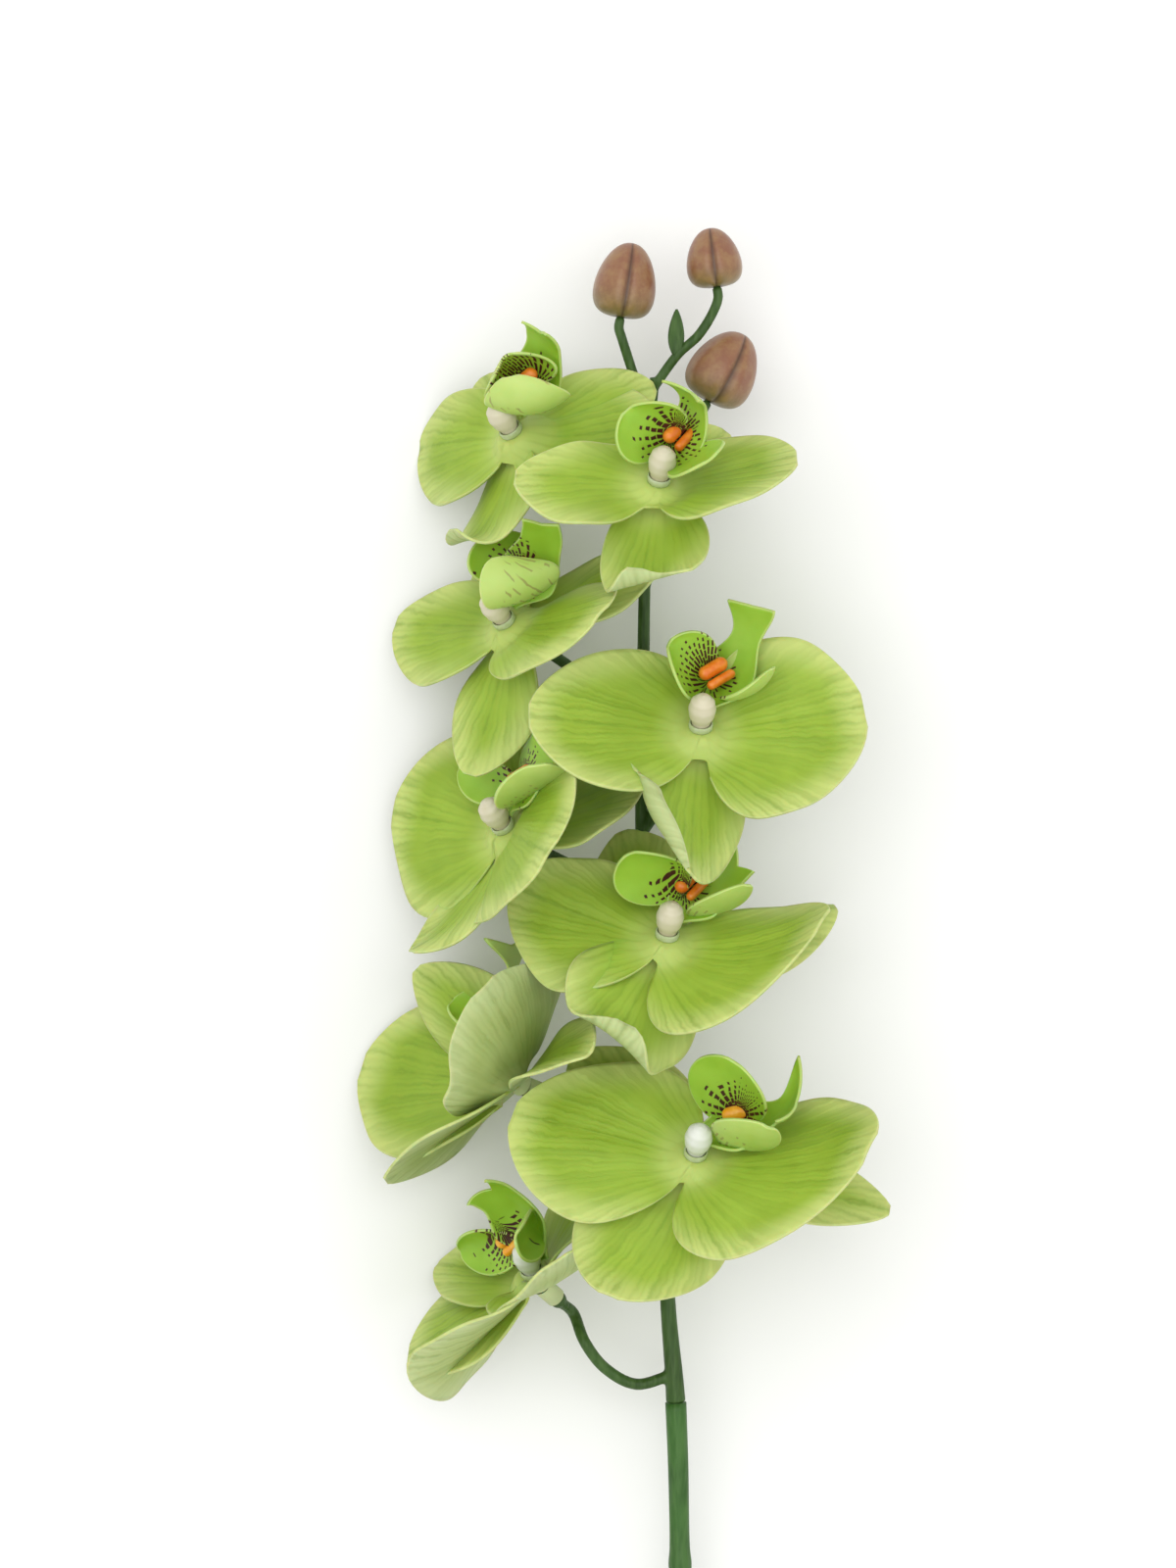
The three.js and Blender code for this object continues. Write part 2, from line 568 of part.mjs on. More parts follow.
// Stems: centre lines as points with a radius, [x, y, z, radius]
const STEM_SIDES = 6;
const PITCH = 18;              // length of one facet along a stem
const FLARE_RADIUS = 2.5;      // swollen end of a branch, against the sleeve of its bloom
const BRANCH_RADIUS = 1.7;
const BRANCH_END = [[-9, BRANCH_RADIUS], [-3.5, BRANCH_RADIUS], [-1.5, FLARE_RADIUS], [0, FLARE_RADIUS]];
const LOWER_STEM = [
  [25.6, -180.3, 14.6, 3.1], [26.3, -198.4, 13.1, 3], [26.8, -223, 11, 3], [26.9, -227.8, 10.6, 3.4],
  [27, -233, 10.1, 3], [27, -290, 5.1, 3], [27, -347, 0.2, 3.1],
];
const MAIN_STEM = [
  [25.6, -180, 14.6, 2.9], [25.1, -172.8, 15, 2.7], [23.4, -153, 15.5, 2.3], [21.7, -115.8, 15.5, 2.2],
  [19.4, -79, 15, 2.1], [17.2, -45.8, 14.5, 2], [15.7, -13.5, 15, 2], [16, 21.4, 16, 1.9],
  [16.3, 49.5, 17, 1.8], [16.9, 74.3, 18, 1.7], [18.2, 105.6, 21, 1.6], [19.3, 117.7, 24, 1.5],
];
// Where each branch leaves the main stem and what it passes on its way to its bloom
const BRANCHES = [
  [[17.3, 84, 18.5], [4, 87, 16]],
  [[16.5, 57.4, 17.3], [18.5, 65, 20]],
  [[16, 14, 15.8], [4, 27, 14.5]],
  [[15.7, -14.2, 15], [21.5, -6, 19]],
  [[16.8, -39, 14.5], [5, -29, 14.5]],
  [[19.5, -80.5, 15], [26, -73, 19]],
  [[21.3, -110, 15.4], [10, -101, 17]],
  [[22.3, -130, 15.5], [25, -123, 19.5]],
  [[25, -172, 15], [14, -174.8, 16], [5, -170, 17.5], [-1, -162, 20]],
];
const BUDS = [
  { foot: [9.4, 135, 26], aim: 81, length: 21.8, width: 17.8, spin: 20,
    stalk: [[18, 104, 20.8], [12.4, 121, 24], [9.8, 129, 26]] },
  { foot: [37.3, 143.8, 26], aim: 97, length: 17.2, width: 15.8, spin: 75,
    stalk: [[19.1, 115, 23.5], [26.1, 124.5, 25], [32, 129.9, 26], [36.4, 137, 26]] },
  { foot: [34.8, 111.2, 20], aim: 62, length: 22, width: 19.6, spin: 50,
    stalk: [[18, 100, 20.5], [25, 100.5, 17.5], [31, 105, 19]] },
];
const BRACT = { root: [25.4, 123.6, 25.6], aim: 89, rise: 4, curl: 12, cup: 25, length: 14 };
const BRACT_MOULD = { length: 14, width: 4.6, left: [0.8, 0.8], right: [0.8, 0.8], rows: 5, lanes: 2 };

// Closed round bar along a smooth line through points that each carry a radius
function bar(points, sides = STEM_SIDES) {
  const places = points.map(([x, y, z]) => new THREE.Vector3(x, y, z));
  const line = new THREE.CatmullRomCurve3(places, false, 'centripetal');
  const radii = points.map((point) => point[3]);
  const positions = [];
  const faces = [];
  const rings = [];
  for (let k = 0; k + 1 < points.length; k += 1) {
    const span = places[k].distanceTo(places[k + 1]);
    const pieces = Math.max(1, Math.round(span / PITCH));
    for (let j = 0; j < pieces; j += 1) rings.push(k + j / pieces);
  }
  rings.push(points.length - 1);
  const side = new THREE.Vector3(0, 0, 1);
  rings.forEach((u) => {
    const k = Math.min(Math.floor(u), points.length - 2);
    const radius = radii[k] + (u - k) * (radii[k + 1] - radii[k]);
    const centre = line.getPoint(u / (points.length - 1));
    const ahead = line.getTangent(u / (points.length - 1));
    side.addScaledVector(ahead, -side.dot(ahead)).normalize();
    const across = new THREE.Vector3().crossVectors(ahead, side);
    for (let j = 0; j < sides; j += 1) {
      const angle = 2 * Math.PI * j / sides;
      positions.push(...centre.clone()
        .addScaledVector(side, radius * Math.cos(angle))
        .addScaledVector(across, radius * Math.sin(angle)).toArray());
    }
  });
  for (let i = 0; i + 1 < rings.length; i += 1) {
    for (let j = 0; j < sides; j += 1) {
      const [a, b] = [i * sides + j, i * sides + (j + 1) % sides];
      faces.push(a, b, b + sides, a, b + sides, a + sides);
    }
  }
  const last = (rings.length - 1) * sides;
  for (let j = 1; j + 1 < sides; j += 1) faces.push(0, j + 1, j, last, last + j, last + j + 1);
  const geometry = new THREE.BufferGeometry();
  geometry.setAttribute('position', new THREE.Float32BufferAttribute(positions, 3));
  geometry.setIndex(faces);
  return solid(geometry);
}

function axisPoint(frame, z) {
  return new THREE.Vector3(0, 0, z).applyMatrix4(frame).toArray();
}

function branch(bloom, route) {
  const frame = bloomFrame(bloom);
  const end = -HUB_DEPTH - SLEEVE_LENGTH - GAP;
  const way = route.map((point) => [...point, BRANCH_RADIUS]);
  const tip = BRANCH_END.map(([back, radius]) => [...axisPoint(frame, end + back), radius]);
  const peg = [end - 1, end + SOCKET_DEPTH].map((z) => [...axisPoint(frame, z), PEG_RADIUS]);
  return bar([...way, ...tip]).add(bar(peg));
}

// Bud: an egg with three shallow grooves, on a stalk that plugs into it
const BUD_STALK = 1.45;
const BUD_PEG = 0.85;
const BUD_SOCKET = 1.25;
const BUD_SOCKET_DEPTH = 3.2;
const BUD_SEGMENTS = 12;
const BUD_RINGS = 8;
const BUD_SHARP = 0.75;        // how early the egg is widest, from its foot
const GROOVE = 0.07;           // groove depth against the radius

function budFrame({ foot, aim }) {
  const ahead = new THREE.Vector3(Math.cos(radians(aim)), Math.sin(radians(aim)), 0);
  const up = new THREE.Vector3(0, 0, 1);
  const side = new THREE.Vector3().crossVectors(up, ahead);
  return new THREE.Matrix4().makeBasis(side, up, ahead).setPosition(...foot);
}

function budSolid({ length, width, spin }) {
  const positions = [0, 0, 0];
  const faces = [];
  for (let i = 1; i < BUD_RINGS; i += 1) {
    const s = i / BUD_RINGS;
    const height = length * (1 - Math.cos(Math.PI * s)) / 2;
    for (let j = 0; j < BUD_SEGMENTS; j += 1) {
      const angle = 2 * Math.PI * j / BUD_SEGMENTS + radians(spin);
      const groove = j % (BUD_SEGMENTS / 3) ? 0 : GROOVE;
      const radius = width / 2 * Math.sin(Math.PI * s ** BUD_SHARP) ** 0.9 * (1 - groove);
      positions.push(radius * Math.cos(angle), radius * Math.sin(angle), height);
    }
  }
  positions.push(0, 0, length);
  const ring = (i, j) => 1 + (i - 1) * BUD_SEGMENTS + j % BUD_SEGMENTS;
  const top = positions.length / 3 - 1;
  for (let j = 0; j < BUD_SEGMENTS; j += 1) {
    faces.push(0, ring(1, j + 1), ring(1, j), top, ring(BUD_RINGS - 1, j), ring(BUD_RINGS - 1, j + 1));
    for (let i = 1; i + 1 < BUD_RINGS; i += 1) {
      const [a, b] = [ring(i, j), ring(i, j + 1)];
      faces.push(a, b, b + BUD_SEGMENTS, a, b + BUD_SEGMENTS, a + BUD_SEGMENTS);
    }
  }
  const geometry = new THREE.BufferGeometry();
  geometry.setAttribute('position', new THREE.Float32BufferAttribute(positions, 3));
  geometry.setIndex(faces);
  return solid(geometry).subtract(rod(BUD_SOCKET, -1, BUD_SOCKET_DEPTH));
}

function budStalk(bud) {
  const frame = budFrame(bud);
  const way = bud.stalk.map((point) => [...point, BUD_STALK]);
  const end = [-3, -GAP].map((z) => [...axisPoint(frame, z), BUD_STALK]);
  const peg = [-1, BUD_SOCKET_DEPTH - GAP].map((z) => [...axisPoint(frame, z), BUD_PEG]);
  return bar([...way, ...end]).add(bar(peg));
}

// The upper stem with its branches, and the peg that joins it to the lower stem
const JOINT_PEG = 1.9;
const JOINT_SOCKET = 2.3;
const JOINT_DEPTH = 8;

function jointPoint(distance) {
  const [top, next] = LOWER_STEM.map((point) => new THREE.Vector3(...point));
  return top.clone().addScaledVector(next.sub(top).normalize(), distance).toArray();
}

function upperStem() {
  const peg = bar([[...jointPoint(-2), JOINT_PEG], [...jointPoint(JOINT_DEPTH - GAP), JOINT_PEG]]);
  const leaf = blade(BRACT_MOULD, BRACT).translate(BRACT.root);
  const branches = BRANCHES.map((route, i) => branch(BLOOMS[i], route));
  return union([bar(MAIN_STEM), peg, leaf, ...branches, ...BUDS.map(budStalk)]);
}

function lowerStem() {
  const socket = bar([[...jointPoint(-1), JOINT_SOCKET], [...jointPoint(JOINT_DEPTH), JOINT_SOCKET]]);
  return bar(LOWER_STEM, ROUND_SIDES).subtract(socket);
}

const CLEAR = { roughness: 0.1, transparent: true, opacity: 0.4 };
const group = new THREE.Group();

function place(name, manifold, colour, frame, finish = {}) {
  const look = { color: colour, roughness: 0.55, metalness: 0, ...finish };
  const material = new THREE.MeshStandardMaterial(look);
  const mesh = new THREE.Mesh(geometryOf(manifold), material);
  mesh.name = name;
  if (frame) mesh.applyMatrix4(frame);
  group.add(mesh);
  return mesh;
}

BLOOMS.forEach((bloom, index) => {
  const name = `bloom_${index + 1}`;
  const frame = bloomFrame(bloom);
  const petals = petalsSolid(bloom).subtract(columnRoom());
  const room = union([petals, tepals(bloom, GAP), columnRoom()]);
  const lip = largestBody(lipLobes(bloom).subtract(room));
  const callusCutters = lipLobes(bloom, GAP).add(room);
  const callus = largestBody(callusSolid(bloom).subtract(callusCutters));
  place(`${name}_petals`, petals, COLOURS.petal, frame);
  place(`${name}_lip`, lip, COLOURS.lip, frame, { roughness: 0.45 });
  place(`${name}_callus`, callus, COLOURS.callus, frame, { roughness: 0.35 });
  place(`${name}_column`, columnSolid(), COLOURS.column, frame, { roughness: 0.35 });
  place(`${name}_collar`, collarSolid(), COLOURS.collar, frame, CLEAR);
});

place('stem_upper', upperStem(), COLOURS.stem);
place('stem_lower', lowerStem(), COLOURS.lowerStem);
BUDS.forEach((bud, index) => place(`bud_${index + 1}`, budSolid(bud), COLOURS.bud, budFrame(bud)));

// The part's origin lies under the middle of its bounding box
group.updateMatrixWorld(true);
const bounds = new THREE.Box3().setFromObject(group, true);
const middle = bounds.getCenter(new THREE.Vector3());
const shift = new THREE.Matrix4().makeTranslation(-middle.x, -middle.y, -bounds.min.z);
group.children.forEach((mesh) => mesh.applyMatrix4(shift));

export default group;
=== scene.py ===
# A moulded moth orchid stem that lies on its back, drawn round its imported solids.
import functools
import math

import bmesh
import bpy
import numpy as np
from mathutils import Matrix, Vector


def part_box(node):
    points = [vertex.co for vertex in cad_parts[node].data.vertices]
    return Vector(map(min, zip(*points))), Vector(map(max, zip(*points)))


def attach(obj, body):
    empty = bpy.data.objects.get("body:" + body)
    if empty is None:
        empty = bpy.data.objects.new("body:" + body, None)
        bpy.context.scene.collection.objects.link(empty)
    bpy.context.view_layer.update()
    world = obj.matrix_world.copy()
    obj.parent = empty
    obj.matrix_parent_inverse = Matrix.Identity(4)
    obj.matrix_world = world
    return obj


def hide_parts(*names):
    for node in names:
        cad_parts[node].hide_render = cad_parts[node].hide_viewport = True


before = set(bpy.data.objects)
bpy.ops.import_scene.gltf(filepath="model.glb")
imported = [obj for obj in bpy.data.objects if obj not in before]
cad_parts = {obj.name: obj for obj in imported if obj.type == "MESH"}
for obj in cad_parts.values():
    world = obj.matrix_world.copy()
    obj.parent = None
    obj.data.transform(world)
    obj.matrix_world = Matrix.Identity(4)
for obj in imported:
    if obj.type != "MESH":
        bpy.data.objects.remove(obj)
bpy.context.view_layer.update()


# Petals and sepals
# Each bloom has five soft plastic blades, moulded thin with fine raised veins and pale edges.
# They meet at a boss with a short sleeve behind it, which is pushed onto its branch.
MM = 0.001
WALL = 0.8            # thickness of every blade
SEPAL_SETBACK = 1.6   # the sepals lie this far behind the petals
MOULD = {
    "left_petal": dict(length=48, width=50, left=(0.97, 0.58), right=(0.68, 0.5)),
    "right_petal": dict(length=48, width=50, left=(0.97, 0.56), right=(0.65, 0.42)),
    "dorsal": dict(length=46, width=37, power=3, left=(0.95, 0.6), right=(0.95, 0.6)),
    "left_lateral": dict(length=46, width=32, left=(1, 0.65), right=(1, 0.65)),
    "right_lateral": dict(length=46, width=32, left=(1, 0.65), right=(1, 0.65)),
    "left_lobe": dict(length=25, width=18, left=(1, 0.5), right=(1, 0.5)),
    "right_lobe": dict(length=25, width=18, left=(1, 0.5), right=(1, 0.5)),
    "middle_lobe": dict(length=31, width=16, power=2, neck=0.5, flare=1, notch=0.15),
}
PLAIN = dict(curl=0, power=1, tip=0, cup=0, edge=0, sweep=0, fuller=1)


def blade(aim, rise=0, roll=0, twist=0, **bends):
    return dict(aim=aim, rise=rise, roll=roll, twist=twist, **bends)


# at, turn, tilt and spin place a bloom. Its blades come in the order of MOULD: where each aims and
# how it rises, rolls and twists on its way out, and then what else bends it or sets its size.
BLOOMS = [
    dict(at=(-20.6, 99.6, 33), turn=-38, tilt=20, spin=-5, size=0.86, blades=[
        blade(182, 0, -3, -10, length=55, width=47, fuller=0.76, curl=-27, cup=13),
        blade(15, -25, -11, length=48, curl=7, cup=-24, sweep=0.07),
        blade(-92, -2, 19, curl=40, cup=-16, sweep=-0.11, tip=110),
        blade(142, -15, 0, 19),
        blade(41, -17, 0, 9, length=50, curl=-24, sweep=0.07),
        blade(91, 52, 35, 22, length=17, width=28, fuller=1.19, curl=39, cup=60),
        blade(-59, 8, -26, -4, length=30, width=29, fuller=1.06, curl=149, cup=36, sweep=-0.17),
        blade(67, 0, 25, 6, length=38, width=19, curl=104, cup=5, sweep=0.15, neck=0.7, flare=0.5,
              notch=0.12)]),
    dict(at=(19.6, 83.9, 54), turn=12, tilt=30, spin=-3, size=0.86, callus_spin=52, blades=[
        blade(170, 2, 7, -6, width=45, fuller=0.66, cup=15, sweep=0.18),
        blade(5, 22, -28, -4, fuller=0.97),
        blade(-96, -6, 11, 21, width=41, fuller=0.76, curl=40, sweep=-0.11, tip=130),
        blade(125, -44, length=40),
        blade(50, -15),
        blade(169, 50, -49, -9, length=21, width=28, fuller=0.98, curl=-24, cup=47, sweep=0.09),
        blade(-59, 38, 14, -3, length=27, width=22, curl=35, cup=17, sweep=-0.06),
        blade(38, 18, -23, 8, length=35, width=19, curl=136, cup=15, sweep=0.12, neck=0.7, flare=1,
              notch=0.09)]),
    dict(at=(-22.6, 44.9, 34), turn=-38, tilt=20, spin=-5, size=0.9, blades=[
        blade(181, -4, 19, -18, length=52, width=45, fuller=0.78),
        blade(-3, 20, -23, length=51, width=44, fuller=0.94, cup=-19, sweep=0.11),
        blade(-90, -2, 12, -33, length=50, width=34, fuller=0.84, curl=6, cup=-10),
        blade(130, -15),
        blade(41, -18, -21, 12, length=54, fuller=0.9),
        blade(126, 24, 16, 20, length=17, width=23, fuller=0.97, curl=-5, cup=30),
        blade(-42, 25, -24, 23, length=27, width=28, fuller=0.91, curl=147, cup=20, sweep=-0.14),
        blade(55, 10, 24, 35, length=35, width=20, curl=58, cup=6, sweep=0.11, neck=0.7, flare=0.6,
              notch=0.05)]),
    dict(at=(31.9, 14, 48), turn=8, tilt=30, spin=5, size=1, callus_spin=28, blades=[
        blade(173, 8, -4, length=51, width=45, fuller=1.08, cup=15),
        blade(0, 11, 7, 5, fuller=1.2, cup=15),
        blade(-103, -12, -4, -42, width=34, fuller=1.5, curl=45, edge=170),
        blade(128, -15),
        blade(50, -41, length=53),
        blade(150, 50, -10, 10, length=20, width=22, curl=-5, cup=47),
        blade(-37, 22, -41, 9, length=20, width=19, fuller=0.96, curl=82, cup=23, sweep=0.06),
        blade(43, 10, -24, 15, length=37, width=19, curl=72, cup=7, flare=0.8, notch=0.01)]),
    dict(at=(-22.9, -14.1, 34), turn=-42, tilt=20, spin=-15, size=1, blades=[
        blade(189, 5, 6, -19, length=45, width=57, fuller=1.1, cup=-10),
        blade(-5, 42, 3, -9, width=53, fuller=1.03, curl=-28, cup=-9),
        blade(-93, 8, 24, width=31, curl=38, cup=-18, edge=60),
        blade(135, -15),
        blade(45, -19, -26, length=41, width=39, fuller=0.9),
        blade(189, 25, -31, 10, length=21, width=17, fuller=0.89, curl=-22, cup=41),
        blade(15, 26, -47, -25, width=24, fuller=0.95, curl=38, cup=3),
        blade(59, 26, -31, 48, length=33, width=20, curl=-18, cup=-2, sweep=0.07, neck=0.7,
              flare=0.8)]),
    dict(at=(22.1, -45.6, 48), turn=10, tilt=35, spin=-5, size=1, callus_spin=53, blades=[
        blade(161, -3, 9, -36, fuller=0.77, sweep=-0.07),
        blade(-21, 11, -2, -10, width=39, fuller=1.63, curl=40, cup=-10, sweep=0.25),
        blade(-116, -8, -14, -10, length=43, width=42, curl=25, cup=-13, tip=170),
        blade(112, -11, -12, fuller=1.18, cup=-18, sweep=-0.15),
        blade(18, -4, -11, -15, length=56, width=34, cup=-40, sweep=0.08),
        blade(145, 41, -54, -10, length=23, width=24, fuller=0.93, curl=31, cup=31, sweep=0.06),
        blade(-34, 47, -51, 8, length=24, width=15, fuller=0.93, curl=39, cup=18, sweep=0.03),
        blade(41, 12, 7, -15, width=18, curl=55, cup=33, sweep=-0.09, neck=0.7, flare=0.6)]),
    dict(at=(-20.8, -86.3, 30), turn=-62, tilt=20, spin=-18, size=1.05, callus_aim=105, blades=[
        blade(205, 24, 17, -15, length=52, width=54, curl=9, cup=9, sweep=0.04),
        blade(37, 26, -35, 6, length=44, fuller=0.96, curl=50, cup=23),
        blade(-95, 30, 33, 18, width=39, fuller=0.86, cup=-7),
        blade(148, 27, 5, -2, length=45, width=30, curl=31, cup=-9, sweep=0.1),
        blade(43, 16, -36, -2, length=47, fuller=0.82, curl=-30, cup=19, sweep=-0.12),
        blade(172, 53, 47, 5, length=21, width=17, fuller=1.05, curl=-14, cup=37, sweep=0.03),
        blade(46, 40, -30, cup=35),
        blade(111, 20, -20, -48, length=35, width=19, curl=5, sweep=-0.04, neck=0.3, flare=1.2,
              notch=0.08)]),
    dict(at=(30.2, -107.1, 53), turn=8, tilt=25, spin=-3, size=1.12,
         callus_spin=18, callus_aim=24, blades=[
        blade(161, -3, fuller=0.88, sweep=0.09),
        blade(-22, 21, -11, fuller=1.14, curl=28, cup=-9, sweep=0.22),
        blade(-112, -9, length=43, fuller=1.1, curl=35, cup=-10, sweep=-0.16),
        blade(130, -15),
        blade(-10, -6, -20, 15, length=53, width=24, fuller=0.8),
        blade(80, 60, -22, -9, length=23, width=22, fuller=1.09, curl=18, cup=6, sweep=-0.04),
        blade(-52, 61, -62, 12, length=24, fuller=0.98, curl=27, cup=26, sweep=-0.04),
        blade(6, 6, -11, -25, length=32, width=19, curl=73, cup=39, sweep=0.07, flare=1.3,
              notch=0.09)]),
    dict(at=(-15.2, -143.3, 28), turn=-41, tilt=33, spin=-35, size=1,
         callus_spin=90, callus_aim=195, blades=[
        blade(245, 0, 14, 2, width=49, fuller=1.03, curl=-10, sweep=0.03),
        blade(9, 19, -28, 11, length=39, width=48, fuller=0.78, curl=50, cup=2),
        blade(-61, 24, 35, 21, length=49, width=42, fuller=1.27, curl=50, cup=-16, sweep=-0.04),
        blade(210, 9, 0, 12, length=41, width=27, fuller=0.98, curl=-16, cup=13, sweep=0.02),
        blade(110, 12, -32, 16, length=41, width=34, fuller=0.97, curl=-23, cup=16, sweep=-0.02),
        blade(228, 2, -59, length=23, width=17, curl=-4, cup=50),
        blade(-59, 63, -59, -32, length=21, fuller=0.88, curl=39, cup=45, sweep=0.19),
        blade(150, 49, -16, 29, length=36, width=20, curl=81, cup=52, sweep=0.03, neck=0.7,
              flare=0.6, notch=0.23)]),
]


def bloom_frame(bloom):
    turn, tilt, spin = (math.radians(bloom[key]) for key in ("turn", "tilt", "spin"))
    facing = Vector((math.sin(turn) * math.cos(tilt), math.sin(tilt), math.cos(turn) * math.cos(tilt)))
    up = (Vector((0, 1, 0)) - facing * facing.y).normalized()
    up.rotate(Matrix.Rotation(spin, 3, facing))
    right = up.cross(facing)
    place = Matrix((right, up, facing)).transposed().to_4x4()
    place.translation = Vector(bloom["at"])
    return place


# The collar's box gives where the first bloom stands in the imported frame
COLUMN_LEAN = 20
BOSS_TOP = 2.2
GAP = 0.35             # left between parts that are pushed together
COLLAR_HEIGHT = 2.6
lean = Matrix.Rotation(math.radians(-COLUMN_LEAN), 4, "X")
collar_middle = lean @ Vector((0, 0, BOSS_TOP + GAP + (COLLAR_HEIGHT - GAP) / 2))
low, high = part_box("bloom_1_collar")
SHIFT = (low + high) / 2 / MM - bloom_frame(BLOOMS[0]) @ collar_middle
CURVE_STEPS = 400


def ramp(values, start):
    return np.clip((values - start) / (1 - start), 0, None)


def running(angle, values):
    """A curve that turns by angle along its unit length: how far it runs ahead and aside."""
    fine = np.linspace(0, 1, CURVE_STEPS + 1)
    turned = angle(fine)
    step = 0.5 / CURVE_STEPS
    ahead = np.concatenate([[0], np.cumsum((np.cos(turned[1:]) + np.cos(turned[:-1])) * step)])
    aside = np.concatenate([[0], np.cumsum((np.sin(turned[1:]) + np.sin(turned[:-1])) * step)])
    return np.interp(values, fine, ahead), np.interp(values, fine, aside)


def bent(kind, bloom):
    """A blade as it comes out of its mould and is bent in this bloom."""
    shape = {**PLAIN, **MOULD[kind], **dict(zip(MOULD, bloom["blades"]))[kind]}
    shape["length"] *= bloom["size"]
    shape["width"] *= bloom["size"]
    return shape


def eased(values, knots):
    """A smooth curve through (value, result) knots."""
    ends, levels = np.array(knots).T
    values = np.clip(values, ends[0], ends[-1])
    span = np.clip(np.searchsorted(ends, values, side="right") - 1, 0, len(ends) - 2)
    t = (values - ends[span]) / (ends[span + 1] - ends[span])
    return levels[span] + (levels[span + 1] - levels[span]) * t * t * (3 - 2 * t)


STRAP_ROOT = 0.3       # width of a strap's root as a share of its full width
STRAP_WIDEST = 0.35    # where along a strap it is widest, and where its neck is
STRAP_NECK = 0.72


def half_width(shape, s, left):
    """A leaf's outline, or a strap's that narrows to a neck and flares at its end."""
    if "flare" in shape:
        knots = ((0, STRAP_ROOT), (STRAP_WIDEST, 1), (STRAP_NECK, shape["neck"]), (1, shape["flare"]))
        return shape["width"] / 2 * eased(s, knots) * np.where(left, 1, shape["fuller"])
    wide = np.where(left, shape["left"][0], shape["right"][0])
    full = np.where(left, shape["left"][1], shape["right"][1])
    side = np.where(left, 1, shape["fuller"])
    return shape["width"] / 2 * np.sin(np.pi * s ** wide) ** full * side


TIP_START, TIP_EASE = 0.72, 1.2       # the tip curls on from here along the blade
EDGE_START, EDGE_EASE = 0.5, 1.3      # the right edge folds over from here across it
EDGE_ALONG = ((0, 0), (0.2, 0), (0.5, 1))


def blade_points(shape, s, v):
    """Middle surface of a blade, from its root, s 0, to its tip, s 1, and across it by v."""
    aim, rise = math.radians(shape["aim"]), math.radians(shape["rise"])
    ahead = np.array([math.cos(aim) * math.cos(rise), math.sin(aim) * math.cos(rise), math.sin(rise)])
    upright = np.array([0, 0, 1]) - ahead * ahead[2]
    upright /= np.linalg.norm(upright)
    roll = math.radians(shape["roll"])
    sideways = math.cos(roll) * np.cross(upright, ahead) + math.sin(roll) * upright
    front = np.cross(ahead, sideways)
    half = half_width(shape, s, v > 0)
    size = np.abs(v)
    if "notch" in shape:
        s = s * (1 - shape["notch"] * (1 - size) * s * s)

    def turn(t):
        tip = math.radians(shape["tip"]) * ramp(t, TIP_START) ** TIP_EASE
        return math.radians(shape["curl"]) * t ** shape["power"] + tip

    x, z = running(turn, s)
    bend, twist = turn(s), math.radians(shape["twist"]) * s
    cup, edge = math.radians(shape["cup"]), math.radians(shape["edge"])
    plain = np.array(running(lambda t: cup * t, size))
    rolled = np.array(running(lambda t: cup * t + edge * ramp(t, EDGE_START) ** EDGE_EASE, size))
    out, lift = plain + (rolled - plain) * np.where(v > 0, 0, eased(s, EDGE_ALONG))
    normal = -np.sin(bend)[:, None] * ahead + np.cos(bend)[:, None] * front
    side = np.cos(twist)[:, None] * sideways + np.sin(twist)[:, None] * normal
    face = -np.sin(twist)[:, None] * sideways + np.cos(twist)[:, None] * normal
    length = shape["length"]
    return ((x * length)[:, None] * ahead + (z * length)[:, None] * front
            + (shape["sweep"] * length * s * s)[:, None] * sideways
            + (np.sign(v) * out * half)[:, None] * side + (lift * half)[:, None] * face)


BLADE_START = 0.012    # the moulded blade begins and ends this far inside its ideal outline
BLADE_REACH = 0.976
BLADE_END = 0.99       # at its tip the rim is measured from here
WEB_REACH = 9.5        # the two petals are one sheet this far from the column


def add_blade(bm, shape, rows, lanes, place, settle, throat=None):
    """One blade as a grid. Its vertices keep their place on the flat blade and from the throat."""
    layers = bm.verts.layers.float_vector
    on_flat = layers.get("flat") or layers.new("flat")
    on_throat = layers.get("throat") or layers.new("throat")
    first = len(bm.verts)
    verts = bmesh.ops.create_grid(bm, x_segments=lanes, y_segments=rows, size=1)["verts"]
    grid = np.array([vert.co[:2] for vert in verts])
    s = BLADE_START + BLADE_REACH * (grid[:, 1] + 1) / 2
    v = -grid[:, 0]
    half = half_width(shape, s, v > 0)
    points = settle(blade_points(shape, s, v), s, v, half)
    rim = np.minimum(half * (1 - np.abs(v)), shape["length"] * (BLADE_END - s))
    if throat is None:
        rim = np.maximum(rim, WEB_REACH - np.hypot(points[:, 0], points[:, 1]))
        throat = Vector()
    for vert, point, a, b, c in zip(verts, points, shape["length"] * s, half * np.abs(v), rim):
        vert.co = place @ Vector(point) * MM
        vert[on_flat] = (a, b, c)
        vert[on_throat] = Vector(point) - throat
    return first, s, v, np.hypot(points[:, 0], points[:, 1])


def finished(bm, name, node, materials, wall=None):
    """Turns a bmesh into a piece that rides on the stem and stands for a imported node."""
    for face in bm.faces:
        face.smooth = True
    mesh = bpy.data.meshes.new(name)
    bm.to_mesh(mesh)
    bm.free()
    piece = bpy.data.objects.new(name, mesh)
    bpy.context.scene.collection.objects.link(piece)
    for material in materials:
        mesh.materials.append(material)
    if wall:
        sheet = piece.modifiers.new("wall", "SOLIDIFY")
        sheet.thickness = wall * MM
        sheet.offset = 0
        if len(materials) > 1:
            sheet.material_offset = 1
    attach(piece, "root")
    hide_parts(node)
    return piece


